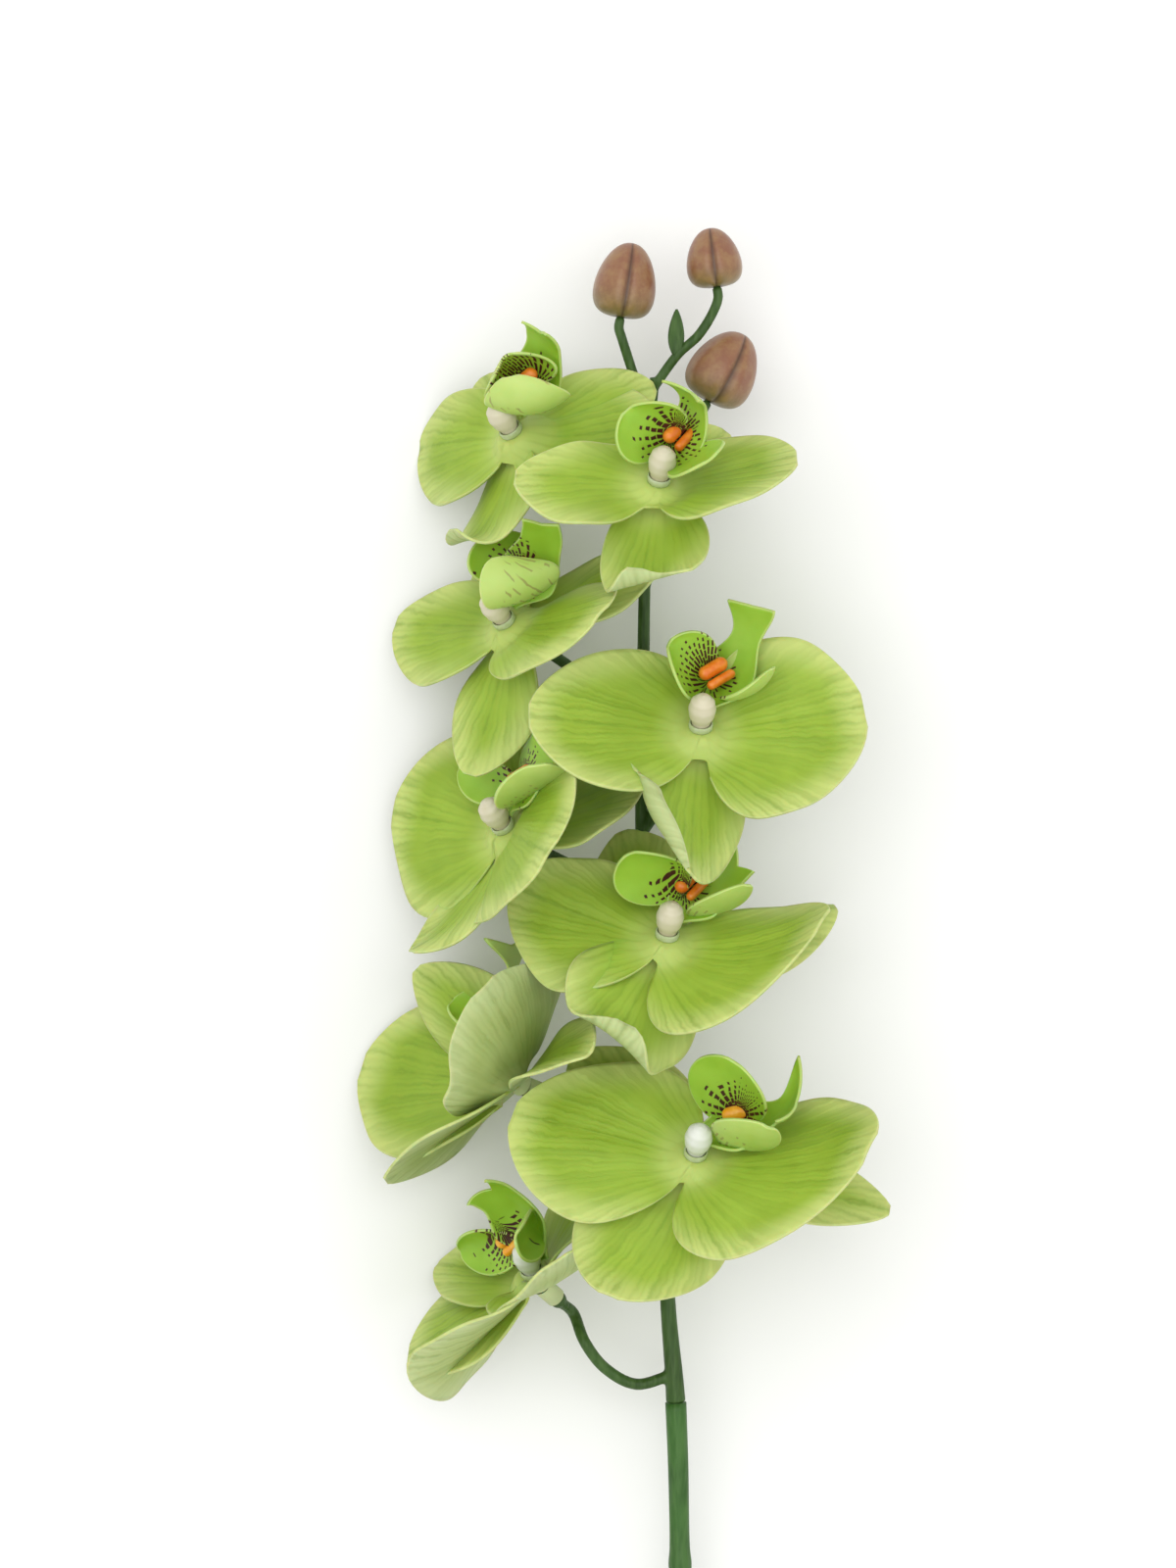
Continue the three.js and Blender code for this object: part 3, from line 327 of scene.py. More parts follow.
def linear(code):
    """An sRGB hex colour as a linear one."""
    parts = [int(code[i:i + 2], 16) / 255 for i in (1, 3, 5)]
    return [c / 12.92 if c <= 0.04045 else ((c + 0.055) / 1.055) ** 2.4 for c in parts] + [1]


def add(material, kind, inputs, out=0, **settings):
    """Adds a shader node. Its inputs, in order or by name, are values or other nodes' outputs."""
    node = material.node_tree.nodes.new("ShaderNode" + kind)
    for key, value in settings.items():
        setattr(node, key, value)
    for socket, value in inputs.items() if isinstance(inputs, dict) else enumerate(inputs):
        if isinstance(value, bpy.types.NodeSocket):
            material.node_tree.links.new(value, node.inputs[socket])
        else:
            node.inputs[socket].default_value = value
    return node.outputs[out] if node.outputs else None


def new_material(name):
    """An empty material, and the function that adds nodes to it."""
    material = bpy.data.materials.new(name)
    material.use_nodes = True
    material.node_tree.nodes.clear()
    return material, functools.partial(add, material)


def coated(node, base, layers, relief, finish):
    """Colours laid over a base, each by its share, and the relief and finish of the skin."""
    colour = linear(base)
    for share, other in layers:
        colour = node("Mix", {0: share, 6: colour, 7: linear(other)}, 2, data_type="RGBA")
    if relief:
        finish["Normal"] = node("Bump", relief)
    surface = node("BsdfPrincipled", {"Base Color": colour, **finish})
    node("OutputMaterial", [surface])


# A MapRange node takes a value, the two levels it comes from and the two that it goes to.
SMOOTH = dict(interpolation_type="SMOOTHSTEP")
VEIN_ROOT = 7          # the veins fan out from a point this far behind the blade's root
VEINS = (              # how many to a radian, how sharp, from where, full from where, how strong
    (15, 8, 3, 10, 0.7),
    (34, 6, 9, 18, 0.8),
    (71, 4, 17, 30, 0.6),
)


def veined(name, face, patch, vein, edge, pale, roughness):
    """Soft plastic with veins that fan out from the root of each blade and branch outwards."""
    material, node = new_material(name)
    spot = node("TexCoord", (), "Object")
    flat = node("Attribute", (), "Vector", attribute_name="flat")
    x, y, rim = (node("SeparateXYZ", [flat], axis) for axis in "XYZ")
    reach = node("VectorMath", [flat, (1, 1, 0)], operation="MULTIPLY")
    reach = node("VectorMath", [reach], "Value", operation="LENGTH")
    wander = node("TexNoise", {"Vector": spot, "Scale": 1 / (6 * MM), "Detail": 4, "Roughness": 0.6})
    wander = node("Math", [wander, 0.09, -0.045], operation="MULTIPLY_ADD")
    fan = node("Math", [x, VEIN_ROOT], operation="ADD")
    fan = node("Math", [y, fan], operation="ARCTAN2")
    fan = node("Math", [fan, wander], operation="ADD")
    veins = 0
    for count, sharp, start, full, strength in VEINS:
        line = node("Math", [fan, count], operation="MULTIPLY")
        line = node("Math", [line], operation="COSINE")
        line = node("Math", [line], operation="ABSOLUTE")
        line = node("Math", [line, sharp], operation="POWER")
        shown = node("MapRange", [reach, start, full, 0, strength], **SMOOTH)
        veins = node("Math", [line, shown, veins], operation="MULTIPLY_ADD")
    faint = node("TexNoise", {"Vector": spot, "Scale": 1 / (11 * MM)})
    faint = node("MapRange", [faint, 0.3, 0.6, 0.35, 1], **SMOOTH)
    veins = node("Math", [veins, faint], operation="MULTIPLY")
    tint = node("Math", [veins, 0.26], operation="MULTIPLY")
    mottle = node("TexNoise", {"Vector": spot, "Scale": 1 / (26 * MM), "Detail": 3, "Roughness": 0.6})
    mottle = node("MapRange", [mottle, 0.3, 0.7], **SMOOTH)
    # Paler towards the outer margin and round the heart: partly the plastic's own paler tone, partly a
    # painted highlight.
    margin = node("MapRange", [rim, 0.5, 12, 0.85, 0], **SMOOTH)
    outer = node("MapRange", [reach, 12, 34], **SMOOTH)
    margin = node("Math", [margin, outer], operation="MULTIPLY")
    heart = node("MapRange", [reach, 4, 16, 0.6, 0], **SMOOTH)
    thin = node("MapRange", [rim, 0.1, 0.55, 0.42, 0], **SMOOTH)
    layers = (mottle, patch), (margin, pale), (heart, pale), (tint, vein), (thin, edge)
    grain = node("TexNoise", {"Vector": spot, "Scale": 1 / (0.9 * MM)})
    height = node("Math", [grain, 0.25, veins], operation="MULTIPLY_ADD")
    coated(node, face, layers, {"Height": height, "Distance": 0.12 * MM, "Strength": 0.6},
           {"Roughness": roughness, "Specular IOR Level": 0.3,
            "Subsurface Weight": 0.25, "Subsurface Scale": 2 * MM})
    return material


# Soft polyethylene, dyed through and printed with darker veins. Its skin is satin and its milky
# body lets light in, which gives the eye a soft, waxy leaf with a pale rim where it is thinnest.
# Its broad paler margins and heart are partly its own tone and partly a painted highlight.
petal_front = veined("petal_front_soft_pe", "#98B53B", "#89A62D", "#658717", "#C8D396", "#C2CF7B", 0.5)
# The same plastic behind, without the yellow print: greyer, paler and more matt.
petal_back = veined("petal_back_soft_pe", "#A6B670", "#97A85E", "#768A3E", "#CAD5A4", "#B8C68C", 0.6)


TEPALS = ("left_petal", "right_petal", "dorsal", "left_lateral", "right_lateral")
PETAL_GRID = (44, 32)
SEPAL_GRID = (36, 22)
BOSS_RADIUS = 3.6
SLEEVE_RADIUS = 2.9
SOCKET_RADIUS = 1.9
SOCKET_DEPTH = 4.5
BOSS_BACK = -3.4
BOSS_SQUASH = 0.7
BOSS_MIDDLE = (0, 0.4, BOSS_BACK + 1.8)
SLEEVE_END = -10.4
WAVE_HEIGHT = 0.9
WAVE_COUNT = (1.3, 2.4)
FOLD_HEIGHT = 0.3
FOLD_COUNT = 9         # folds to a radian, from a point behind the root
FAN_ROOT = 4
FOLD_REACH = ((0, 0), (6, 0), (18, 1), (60, 0.4))
CHANNEL_DEPTH = 0.5
CHANNEL_WIDTH = 2.2
FREE_SHEET = 10        # beyond this distance from the column the petals leave their seat
TINY = 0.001
SEED = 7


def petal_settling(kind, seed):
    """Waves and folds of a blade, and the rise of the two front petals to the column's foot."""
    local = np.random.default_rng(seed)
    phase, count = local.uniform(0, 2 * np.pi, 3), local.uniform(*WAVE_COUNT)

    def settle(points, s, v, half):
        margin = np.abs(v) ** 3 * np.sin(np.pi * np.clip(s, 0, 1)) ** 0.5
        waves = WAVE_HEIGHT * margin * np.sin(2 * np.pi * count * s + phase[0] + (v > 0) * 2)
        along = s * MOULD["left_petal"]["length"]
        spread = np.arctan2(half * v, along + FAN_ROOT)
        folds = FOLD_HEIGHT * eased(np.hypot(along, half * v), FOLD_REACH)
        folds = folds * np.cos(FOLD_COUNT * spread + phase[2])
        channel = np.exp(-(half * v / CHANNEL_WIDTH) ** 2) * np.sin(np.pi * np.clip(s * 1.1, 0, 1))
        points = points.copy()
        points[:, 2] += waves + folds - CHANNEL_DEPTH * channel
        if not kind.endswith("petal"):
            return points - (0, 0, SEPAL_SETBACK)
        return seated(points)
    return settle


def seated(points):
    """Near the column the front sheet rises to a seat that leans as the column does."""
    tilt = math.radians(COLUMN_LEAN)
    away = np.hypot(points[:, 0], points[:, 1])
    seat = (BOSS_TOP - points[:, 1] * math.sin(tilt)) / math.cos(tilt)
    seat = seat * eased(away, ((0, 1), (BOSS_RADIUS, 1), (FREE_SHEET, 0)))
    share = eased(away, ((0, 1), (BOSS_RADIUS, 1), (FREE_SHEET + 1, 0)))
    return np.column_stack([points[:, :2], points[:, 2] * (1 - share) + seat * share])


def border(bm, blade, side):
    """A petal's outline from the middle of its root round one side, as far as the web goes."""
    first, s, v, reach = blade
    outline = (v * side > 1 - TINY) | (s < BLADE_START + TINY)
    line = np.flatnonzero(outline & (v * side > -TINY) & (reach < WEB_REACH))
    bm.verts.ensure_lookup_table()
    line = [bm.verts[first + i] for i in line[np.lexsort((v[line] * side, s[line].round(4)))]]
    return [bm.edges.get(pair) for pair in zip(line, line[1:])]


WEB_CUTS = 5
WEB_SMOOTHING = 6


def add_web(bm, left, right, side):
    """The stretch between two petals close to the column, where they are one sheet."""
    edges = border(bm, left, side) + border(bm, right, -side)
    faces = bmesh.ops.bridge_loops(bm, edges=edges)["faces"]
    crossing = dict.fromkeys(edge for face in faces for edge in face.edges if edge not in edges)
    made = bmesh.ops.subdivide_edges(bm, edges=list(crossing), cuts=WEB_CUTS, use_grid_fill=True)
    inner = [item for item in made["geom_inner"] if isinstance(item, bmesh.types.BMVert)]
    for _ in range(WEB_SMOOTHING):
        bmesh.ops.smooth_vert(bm, verts=inner, factor=0.5,
                              use_axis_x=True, use_axis_y=True, use_axis_z=True)


places = [Matrix.Translation(SHIFT) @ bloom_frame(bloom) for bloom in BLOOMS]
seeds = np.random.default_rng(SEED).integers(1 << 30, size=(len(BLOOMS), len(TEPALS)))
for number, (bloom, place) in enumerate(zip(BLOOMS, places), 1):
    bm = bmesh.new()
    settles = {kind: petal_settling(kind, seed) for kind, seed in zip(TEPALS, seeds[number - 1])}
    blades = {}
    for kind, settle in settles.items():
        rows, lanes = PETAL_GRID if kind.endswith("petal") else SEPAL_GRID
        blades[kind] = add_blade(bm, bent(kind, bloom), rows, lanes, place, settle)
    for side in (1, -1):
        add_web(bm, blades["left_petal"], blades["right_petal"], side)
    faces = [petal_front, petal_back]
    finished(bm, f"bloom_{number}_blades", f"bloom_{number}_petals", faces, WALL)

    bm = bmesh.new()
    bmesh.ops.create_uvsphere(bm, u_segments=32, v_segments=16, radius=BOSS_RADIUS)
    bmesh.ops.scale(bm, vec=(1, 1, BOSS_SQUASH), verts=bm.verts)
    bmesh.ops.translate(bm, vec=BOSS_MIDDLE, verts=bm.verts)
    length = BOSS_BACK - SLEEVE_END
    sleeve = bmesh.ops.create_cone(bm, cap_ends=False, segments=32, radius1=SLEEVE_RADIUS,
                                   radius2=SLEEVE_RADIUS, depth=length)
    bmesh.ops.translate(bm, verts=sleeve["verts"], vec=(0, 0, SLEEVE_END + length / 2))
    mouth = [edge for edge in bm.edges if edge.is_boundary and edge.verts[0].co.z < SLEEVE_END + 1]
    for scale, rise in ((SOCKET_RADIUS / SLEEVE_RADIUS, 0), (1, SOCKET_DEPTH)):
        grown = bmesh.ops.extrude_edge_only(bm, edges=mouth)["geom"]
        inner = [item for item in grown if isinstance(item, bmesh.types.BMVert)]
        bmesh.ops.scale(bm, vec=(scale, scale, 1), verts=inner)
        bmesh.ops.translate(bm, vec=(0, 0, rise), verts=inner)
        mouth = [item for item in grown if isinstance(item, bmesh.types.BMEdge) and item.is_boundary]
    bmesh.ops.holes_fill(bm, edges=mouth, sides=0)
    bmesh.ops.transform(bm, matrix=Matrix.Scale(MM, 4) @ place, verts=bm.verts)
    bmesh.ops.recalc_face_normals(bm, faces=bm.faces)
    finished(bm, f"bloom_{number}_boss", f"bloom_{number}_petals", [petal_back])


# Lips
# The lip is moulded apart in a brighter green and pressed into the boss above the column.
# A strap with a flared end carries two rounded lobes, which stand round the callus as a cup.
LIP_ROOT = Vector((0, 6, 3))
LOBE_FOOT = (0.2, 0.5)        # where on the strap each side lobe grows, along it and across
LIP_GRID = (40, 30)
CALLUS_REACH = 13             # from the lip's root to the middle of its callus
CALLUS_AIM = 62
CALLUS_RISE = 33


def callus_middle(bloom):
    aim, rise = math.radians(bloom.get("callus_aim", CALLUS_AIM)), math.radians(CALLUS_RISE)
    ahead = Vector((math.cos(aim) * math.cos(rise), math.sin(aim) * math.cos(rise), math.sin(rise)))
    return LIP_ROOT + CALLUS_REACH * bloom["size"] * ahead


DASH_ROWS = 5.2               # rows of dashes to a radian round the callus
DASH_PITCH = 2                # a dash and its gap
DASH_SHARE = (0.44, 0.2)      # half a dash as a share of the pitch, close by and further out
DASH_WIDTH = (0.24, 0.4)      # from the middle of a row to the start and the end of a dash's edge
ROW_STRIDE = 17.3             # keeps the luck of neighbouring rows apart


def spotted(name, face, deep, edge, spot, strength, limit):
    """Bright soft plastic with maroon dashes in rows that run out from the callus."""
    material, node = new_material(name)
    at = node("TexCoord", (), "Object")
    flat = node("Attribute", (), "Vector", attribute_name="flat")
    rim = node("SeparateXYZ", [flat], "Z")
    throat = node("Attribute", (), "Vector", attribute_name="throat")
    x, y = (node("SeparateXYZ", [throat], axis) for axis in "XY")
    away = node("VectorMath", [throat], "Value", operation="LENGTH")
    wander = node("TexNoise", {"Vector": at, "Scale": 1 / (4 * MM)})
    wander = node("Math", [wander, 0.16, -0.08], operation="MULTIPLY_ADD")
    left = node("Math", [x, -1], operation="MULTIPLY")
    fan = node("Math", [y, left], operation="ARCTAN2")
    fan = node("Math", [fan, wander], operation="ADD")
    rows = node("Math", [fan, DASH_ROWS], operation="MULTIPLY")
    row = node("Math", [rows], operation="FLOOR")
    offset = node("TexWhiteNoise", {"W": row}, "Value", noise_dimensions="1D")
    steps = node("Math", [away, 1 / DASH_PITCH, offset], operation="MULTIPLY_ADD")
    step = node("Math", [steps], operation="FLOOR")
    cell = node("Math", [row, ROW_STRIDE, step], operation="MULTIPLY_ADD")
    luck = node("TexWhiteNoise", {"W": cell}, "Value", noise_dimensions="1D")
    middles = []
    for measure in (rows, steps):
        part = node("Math", [measure], operation="FRACT")
        part = node("Math", [part, -0.5], operation="ADD")
        middles.append(node("Math", [part], operation="ABSOLUTE"))
    across, along = middles
    across = node("Math", [across, DASH_ROWS], operation="DIVIDE")
    across = node("Math", [across, away], operation="MULTIPLY")
    thin = node("MapRange", [across, *DASH_WIDTH, 1, 0], **SMOOTH)
    length = node("MapRange", [away, 6, 11, *DASH_SHARE], **SMOOTH)
    within = node("Math", [along, length], operation="LESS_THAN")
    outer = node("Math", [luck, 5, away], operation="MULTIPLY_ADD")
    shown = node("MapRange", [outer, limit + 2.5, limit + 3, strength, 0], **SMOOTH)
    spots = node("Math", [within, thin], operation="MULTIPLY")
    spots = node("Math", [spots, shown], operation="MULTIPLY")
    mottle = node("TexNoise", {"Vector": at, "Scale": 1 / (17 * MM), "Detail": 3})
    mottle = node("MapRange", [mottle, 0.3, 0.7], **SMOOTH)
    margin = node("MapRange", [rim, 0.1, 0.6, 0.5, 0], **SMOOTH)
    grain = node("TexNoise", {"Vector": at, "Scale": 1 / (1.1 * MM)})
    coated(node, face, ((mottle, deep), (margin, edge), (spots, spot)),
           {"Height": grain, "Distance": 0.05 * MM},
           {"Roughness": 0.42, "Specular IOR Level": 0.4,
            "Subsurface Weight": 0.35, "Subsurface Scale": 2 * MM})
    return material


# Soft polyethylene of a brighter, more yellow dye with a slight sheen. The printed dashes give
# the eye a dark, speckled throat, and on the strap they stop close to the callus.
lip_side = spotted("lip_lobe_soft_pe", "#98C13D", "#86B025", "#C4D88C", "#401013", 1, 12)
lip_middle = spotted("lip_strap_soft_pe", "#98C13D", "#86B025", "#C4D88C", "#401013", 1, 7.5)
# Behind, the print only shines through the milky plastic, as faint brown dashes.
lip_back = spotted("lip_back_soft_pe", "#B7CE72", "#A4C258", "#D0E09C", "#86744A", 0.6, 12)

for number, (bloom, place) in enumerate(zip(BLOOMS, places), 1):
    strap = bent("middle_lobe", bloom)
    along, across = LOBE_FOOT
    for kind, side in (("middle_lobe", 0), ("left_lobe", 1), ("right_lobe", -1)):
        foot = np.array(LIP_ROOT)
        if side:
            foot = foot + blade_points(strap, np.array([along]), np.array([across * side]))[0]
        bm = bmesh.new()
        add_blade(bm, bent(kind, bloom), *LIP_GRID, place, lambda points, *rest: points + foot,
                  callus_middle(bloom))
        front = lip_side if side else lip_middle
        finished(bm, f"bloom_{number}_{kind}", f"bloom_{number}_lip", [front, lip_back], WALL)


# Columns and their collars
# A cream egg of semi-gloss plastic stands on each boss and leans towards the lip.
# A clear soft collar round its foot holds it down.
COLUMN_FOOT = 2.55
COLUMN_HEIGHT = 12
EGG = ((0, 0), (0.03, 2.3), (0.2, 2.75), (0.42, 3.7), (0.6, 4), (0.8, 3.5), (0.94, 2.1), (1, 0))
CLEFT_DEPTH = 0.45            # a short nick in the egg, its place and its size up it and round it
CLEFT_AT = (0.72, 0.6)
CLEFT_SIZE = (0.06, 0.5)
RING_REACH = 3.15
RING_WALL = 0.35
RING_RISE = 1.13
RING_STRETCH = 3.1
PALE_BLOOMS = (8, 9)


def column_gloss(name, foot, top, bloom):
    """Semi-gloss plastic whose cream turns lighter up the column, as a painted highlight."""
    material, node = new_material(name)
    spot = node("TexCoord", (), "Object")
    flat = node("Attribute", (), "Vector", attribute_name="flat")
    height = node("SeparateXYZ", [flat], "Z")
    # Lighter towards the top of the egg: a painted highlight.
    rise = node("MapRange", [height, 3, 9], **SMOOTH)
    mottle = node("TexNoise", {"Vector": spot, "Scale": 1 / (4.5 * MM), "Detail": 3})
    mottle = node("MapRange", [mottle, 0.4, 0.75, 0, 0.35], **SMOOTH)
    dents = node("TexNoise", {"Vector": spot, "Scale": 1 / (2 * MM), "Detail": 3})
    coated(node, foot, ((rise, top), (mottle, bloom)), {"Height": dents, "Distance": 0.08 * MM},
           {"Roughness": 0.32, "Specular IOR Level": 0.5})
    return material


# Painted polyethylene: a cream coat, lighter towards its top as a broad, soft painted highlight, and a
# powdery bloom on top.
cream = column_gloss("column_cream_gloss_pe", "#BDB592", "#C9C2A6", "#D6D0BE")
# The lowest blooms have a whiter coat.
white = column_gloss("column_white_gloss_pe", "#CBCDBE", "#D4D7CC", "#DEE0DA")

# Clear soft PVC: it lets the green behind it through, and its rim catches a sharp highlight.
collar_finish, node = new_material("collar_clear_pvc")
spot = node("TexCoord", (), "Object")
haze = node("TexNoise", {"Vector": spot, "Scale": 1 / (3.3 * MM)})
haze = node("MapRange", [haze, 0.3, 0.7], **SMOOTH)
coated(node, "#D5E0B8", [(haze, "#BFD08E")], {},
       {"Roughness": 0.2, "IOR": 1.4, "Transmission Weight": 0.35})

for number, place in enumerate(places, 1):
    bm = bmesh.new()
    on_flat = bm.verts.layers.float_vector.new("flat")
    bmesh.ops.create_uvsphere(bm, u_segments=40, v_segments=28, radius=1)
    for vert in bm.verts:
        s = (1 + vert.co.z) / 2
        round_at = math.hypot(vert.co.x, vert.co.y)
        level = COLUMN_FOOT + COLUMN_HEIGHT * s
        angle = math.atan2(vert.co.y, vert.co.x)
        up, aside = (s - CLEFT_AT[0]) / CLEFT_SIZE[0], (angle - CLEFT_AT[1]) / CLEFT_SIZE[1]
        radius = eased(s, EGG) - CLEFT_DEPTH * math.exp(-up ** 2 - aside ** 2)
        share = radius / round_at if round_at > 1e-6 else 0
        vert.co = Vector((vert.co.x * share, vert.co.y * share, level))
        vert[on_flat] = (0, 0, level)
    bmesh.ops.transform(bm, matrix=Matrix.Scale(MM, 4) @ place @ lean, verts=bm.verts)
    coat = white if number in PALE_BLOOMS else cream
    finished(bm, f"bloom_{number}_bead", f"bloom_{number}_column", [coat])

    bm = bmesh.new()
    ring = bmesh.ops.create_circle(bm, segments=10, radius=RING_WALL)["verts"]
    for vert in ring:
        level = BOSS_TOP + GAP + RING_RISE + vert.co.y * RING_STRETCH
        vert.co = Vector((RING_REACH + vert.co.x, 0, level))
    bmesh.ops.spin(bm, geom=bm.verts[:] + bm.edges[:], axis=(0, 0, 1), cent=(0, 0, 0),
                   angle=2 * math.pi, steps=40, use_merge=True)
    bmesh.ops.transform(bm, matrix=Matrix.Scale(MM, 4) @ place @ lean, verts=bm.verts)
    bmesh.ops.recalc_face_normals(bm, faces=bm.faces)
    finished(bm, f"bloom_{number}_ring", f"bloom_{number}_collar", [collar_finish])


# Calluses
# Two short orange bars of glossy plastic lie side by side in the throat of each lip.
# They are moulded as one and pressed on a pin of the strap.
CALLUS_LENGTH = 9.6
CALLUS_SPIN = 45
CALLUS_BARS = ((2.1, 0, 0), (1.4, 3.9, -0.6))    # radius, how far aside, how far up
AMBER_BLOOMS = (8, 9)


def callus_gloss(name, warm, light):
    """Glossy plastic in two warm tones, with the small dents of its mould."""
    material, node = new_material(name)
    spot = node("TexCoord", (), "Object")
    shade = node("TexNoise", {"Vector": spot, "Scale": 1 / (2.8 * MM), "Detail": 3})
    shade = node("MapRange", [shade, 0.35, 0.7], **SMOOTH)
    dents = node("TexNoise", {"Vector": spot, "Scale": 1 / (2.4 * MM), "Detail": 3})
    coated(node, warm, [(shade, light)], {"Height": dents, "Distance": 0.2 * MM},
           {"Roughness": 0.3, "Specular IOR Level": 0.5})
    return material


# Glossy polyethylene: the saturated orange and its small highlights mark the heart of a bloom.
orange = callus_gloss("callus_orange_gloss_pe", "#DA6E14", "#E98A2A")
# The lowest blooms' calluses are more yellow.
amber = callus_gloss("callus_amber_gloss_pe", "#E89A18", "#F2B23C")

for number, (bloom, place) in enumerate(zip(BLOOMS, places), 1):
    bm = bmesh.new()
    turn = math.radians(bloom.get("callus_spin", CALLUS_SPIN))
    cos, sin = math.cos(turn), math.sin(turn)
    for radius, apart, drop in CALLUS_BARS:
        bar = bmesh.ops.create_uvsphere(bm, u_segments=20, v_segments=14, radius=radius)["verts"]
        for vert in bar:
            along = vert.co.z + math.copysign(CALLUS_LENGTH / 2 - radius, vert.co.z)
            aside = vert.co.x - apart
            vert.co = (along * cos - aside * sin, along * sin + aside * cos, vert.co.y + drop)
    bmesh.ops.recalc_face_normals(bm, faces=bm.faces)
    seat = Matrix.Scale(MM, 4) @ place @ Matrix.Translation(callus_middle(bloom))
    bmesh.ops.transform(bm, matrix=seat, verts=bm.verts)
    gloss = amber if number in AMBER_BLOOMS else orange
    finished(bm, f"bloom_{number}_bars", f"bloom_{number}_callus", [gloss])


# Stems
# Both stems are moulded plastic over a wire. The branches grow out of the upper stem without
# a joint, and it plugs into the thicker lower stem, which is cut square at its end.
BRANCH_RADIUS = 1.7
FLARE_RADIUS = 2.5
BRANCH_END = SLEEVE_END - GAP
BRANCH_TIP = ((-9, BRANCH_RADIUS), (-3.5, BRANCH_RADIUS), (-1.5, FLARE_RADIUS), (0, FLARE_RADIUS))
PEG_RADIUS = 1.5              # each branch ends in a peg that a bloom's sleeve is pushed on
PEG_LENGTH = 4.5
PEG_ROOT = 1                  # how far every peg starts inside its stem
LOWER_PEG = 1.9
LOWER_PEG_LENGTH = 7.6
LOWER_SOCKET = 2.1
LOWER_SOCKET_DEPTH = 8.2
LOWER_STEM = [
    (25.6, -180.3, 14.6, 3.1), (26.3, -198.4, 13.1, 3), (26.8, -223, 11, 3), (26.9, -227.8, 10.6, 3.4),
    (27, -233, 10.1, 3), (27, -290, 5.1, 3), (27, -347, 0.2, 3.1),
]
MAIN_STEM = [
    (25.6, -180, 14.6, 2.9), (25.1, -172.8, 15, 2.7), (23.4, -153, 15.5, 2.3), (21.7, -115.8, 15.5, 2.2),
    (19.4, -79, 15, 2.1), (17.2, -45.8, 14.5, 2), (15.7, -13.5, 15, 2), (16, 21.4, 16, 1.9),
    (16.3, 49.5, 17, 1.8), (16.9, 74.3, 18, 1.7), (18.2, 105.6, 21, 1.6), (19.3, 117.7, 24, 1.5),
]
BRANCHES = [
    [(17.3, 84, 18.5), (4, 87, 16)],
    [(16.5, 57.4, 17.3), (18.5, 65, 20)],
    [(16, 14, 15.8), (4, 27, 14.5)],
    [(15.7, -14.2, 15), (21.5, -6, 19)],
    [(16.8, -39, 14.5), (5, -29, 14.5)],
    [(19.5, -80.5, 15), (26, -73, 19)],
    [(21.3, -110, 15.4), (10, -101, 17)],
    [(22.3, -130, 15.5), (25, -123, 19.5)],
    [(25, -172, 15), (14, -174.8, 16), (5, -170, 17.5), (-1, -162, 20)],
]


def between(low, high, t, one, other):
    return ((high - t) * one + (t - low) * other) / (high - low)


def smooth_line(points, steps):
    """A smooth line through points that each carry a radius, without loops."""
    nodes = [np.array(point, float) for point in points]
    nodes = [2 * nodes[0] - nodes[1]] + nodes + [2 * nodes[-1] - nodes[-2]]
    line = []
    for four in zip(nodes, nodes[1:], nodes[2:], nodes[3:]):
        knots = [0]
        for one, other in zip(four, four[1:]):
            knots.append(knots[-1] + max(np.linalg.norm((other - one)[:3]), 1e-6) ** 0.5)
        for t in np.linspace(knots[1], knots[2], steps, endpoint=False):
            three = [between(knots[i], knots[i + 1], t, four[i], four[i + 1]) for i in range(3)]
            two = [between(knots[i], knots[i + 2], t, three[i], three[i + 1]) for i in range(2)]
            line.append(between(knots[1], knots[2], t, *two))
    return line + [nodes[-2]]


def add_bar(bm, points, steps=8, sides=24):
    """A round bar through points that each carry a radius."""
    line = smooth_line(points, steps)
    verts = bmesh.ops.create_grid(bm, x_segments=sides, y_segments=len(line) - 1, size=1)["verts"]
    across = Vector((0, 0, 1))
    rings = []
    for i, point in enumerate(line):
        ahead = Vector(line[min(i + 1, len(line) - 1)][:3] - line[max(i - 1, 0)][:3]).normalized()
        across = (across - ahead * across.dot(ahead)).normalized()
        rings.append((Vector(point[:3]), float(point[3]), across.copy(), ahead.cross(across)))
    for vert in verts:
        centre, radius, up, aside = rings[round((vert.co.y + 1) / 2 * (len(line) - 1))]
        angle = math.pi * vert.co.x
        vert.co = centre + radius * (math.cos(angle) * up + math.sin(angle) * aside)
    bmesh.ops.remove_doubles(bm, verts=verts, dist=0.001)
    ends = [edge for edge in bm.edges if edge.is_boundary]
    bmesh.ops.holes_fill(bm, edges=ends, sides=0)


def along_axis(place, *stops):
    """Points on a frame's own axis, each with its height and its radius."""
    return [(*(place @ Vector((0, 0, height))), radius) for height, radius in stops]


def green_stem(name, colour, dark, light):
    """Green plastic with blotches and with fine streaks along the stem."""
    material, node = new_material(name)
    spot = node("TexCoord", (), "Object")
    blotch = node("TexNoise", {"Vector": spot, "Scale": 1 / (14 * MM), "Detail": 3})
    blotch = node("MapRange", [blotch, 0.3, 0.7], **SMOOTH)
    drawn = node("Mapping", {"Vector": spot, "Scale": (1, 0.12, 1)})
    lines = node("TexNoise", {"Vector": drawn, "Scale": 1 / (1.4 * MM)})
    lines = node("MapRange", [lines, 0.35, 0.7], **SMOOTH)
    streaks = node("Math", [lines, 0.35], operation="MULTIPLY")
    coated(node, colour, ((blotch, dark), (streaks, light)),
           {"Height": lines, "Distance": 0.15 * MM}, {"Roughness": 0.45, "Specular IOR Level": 0.3})
    return material


# Firm polyethylene over wire: a dark green with a dull sheen, and fine streaks along it that
# give the eye a fibrous stem.
upper_finish = green_stem("upper_stem_green_pe", "#37561F", "#2A4514", "#56733A")
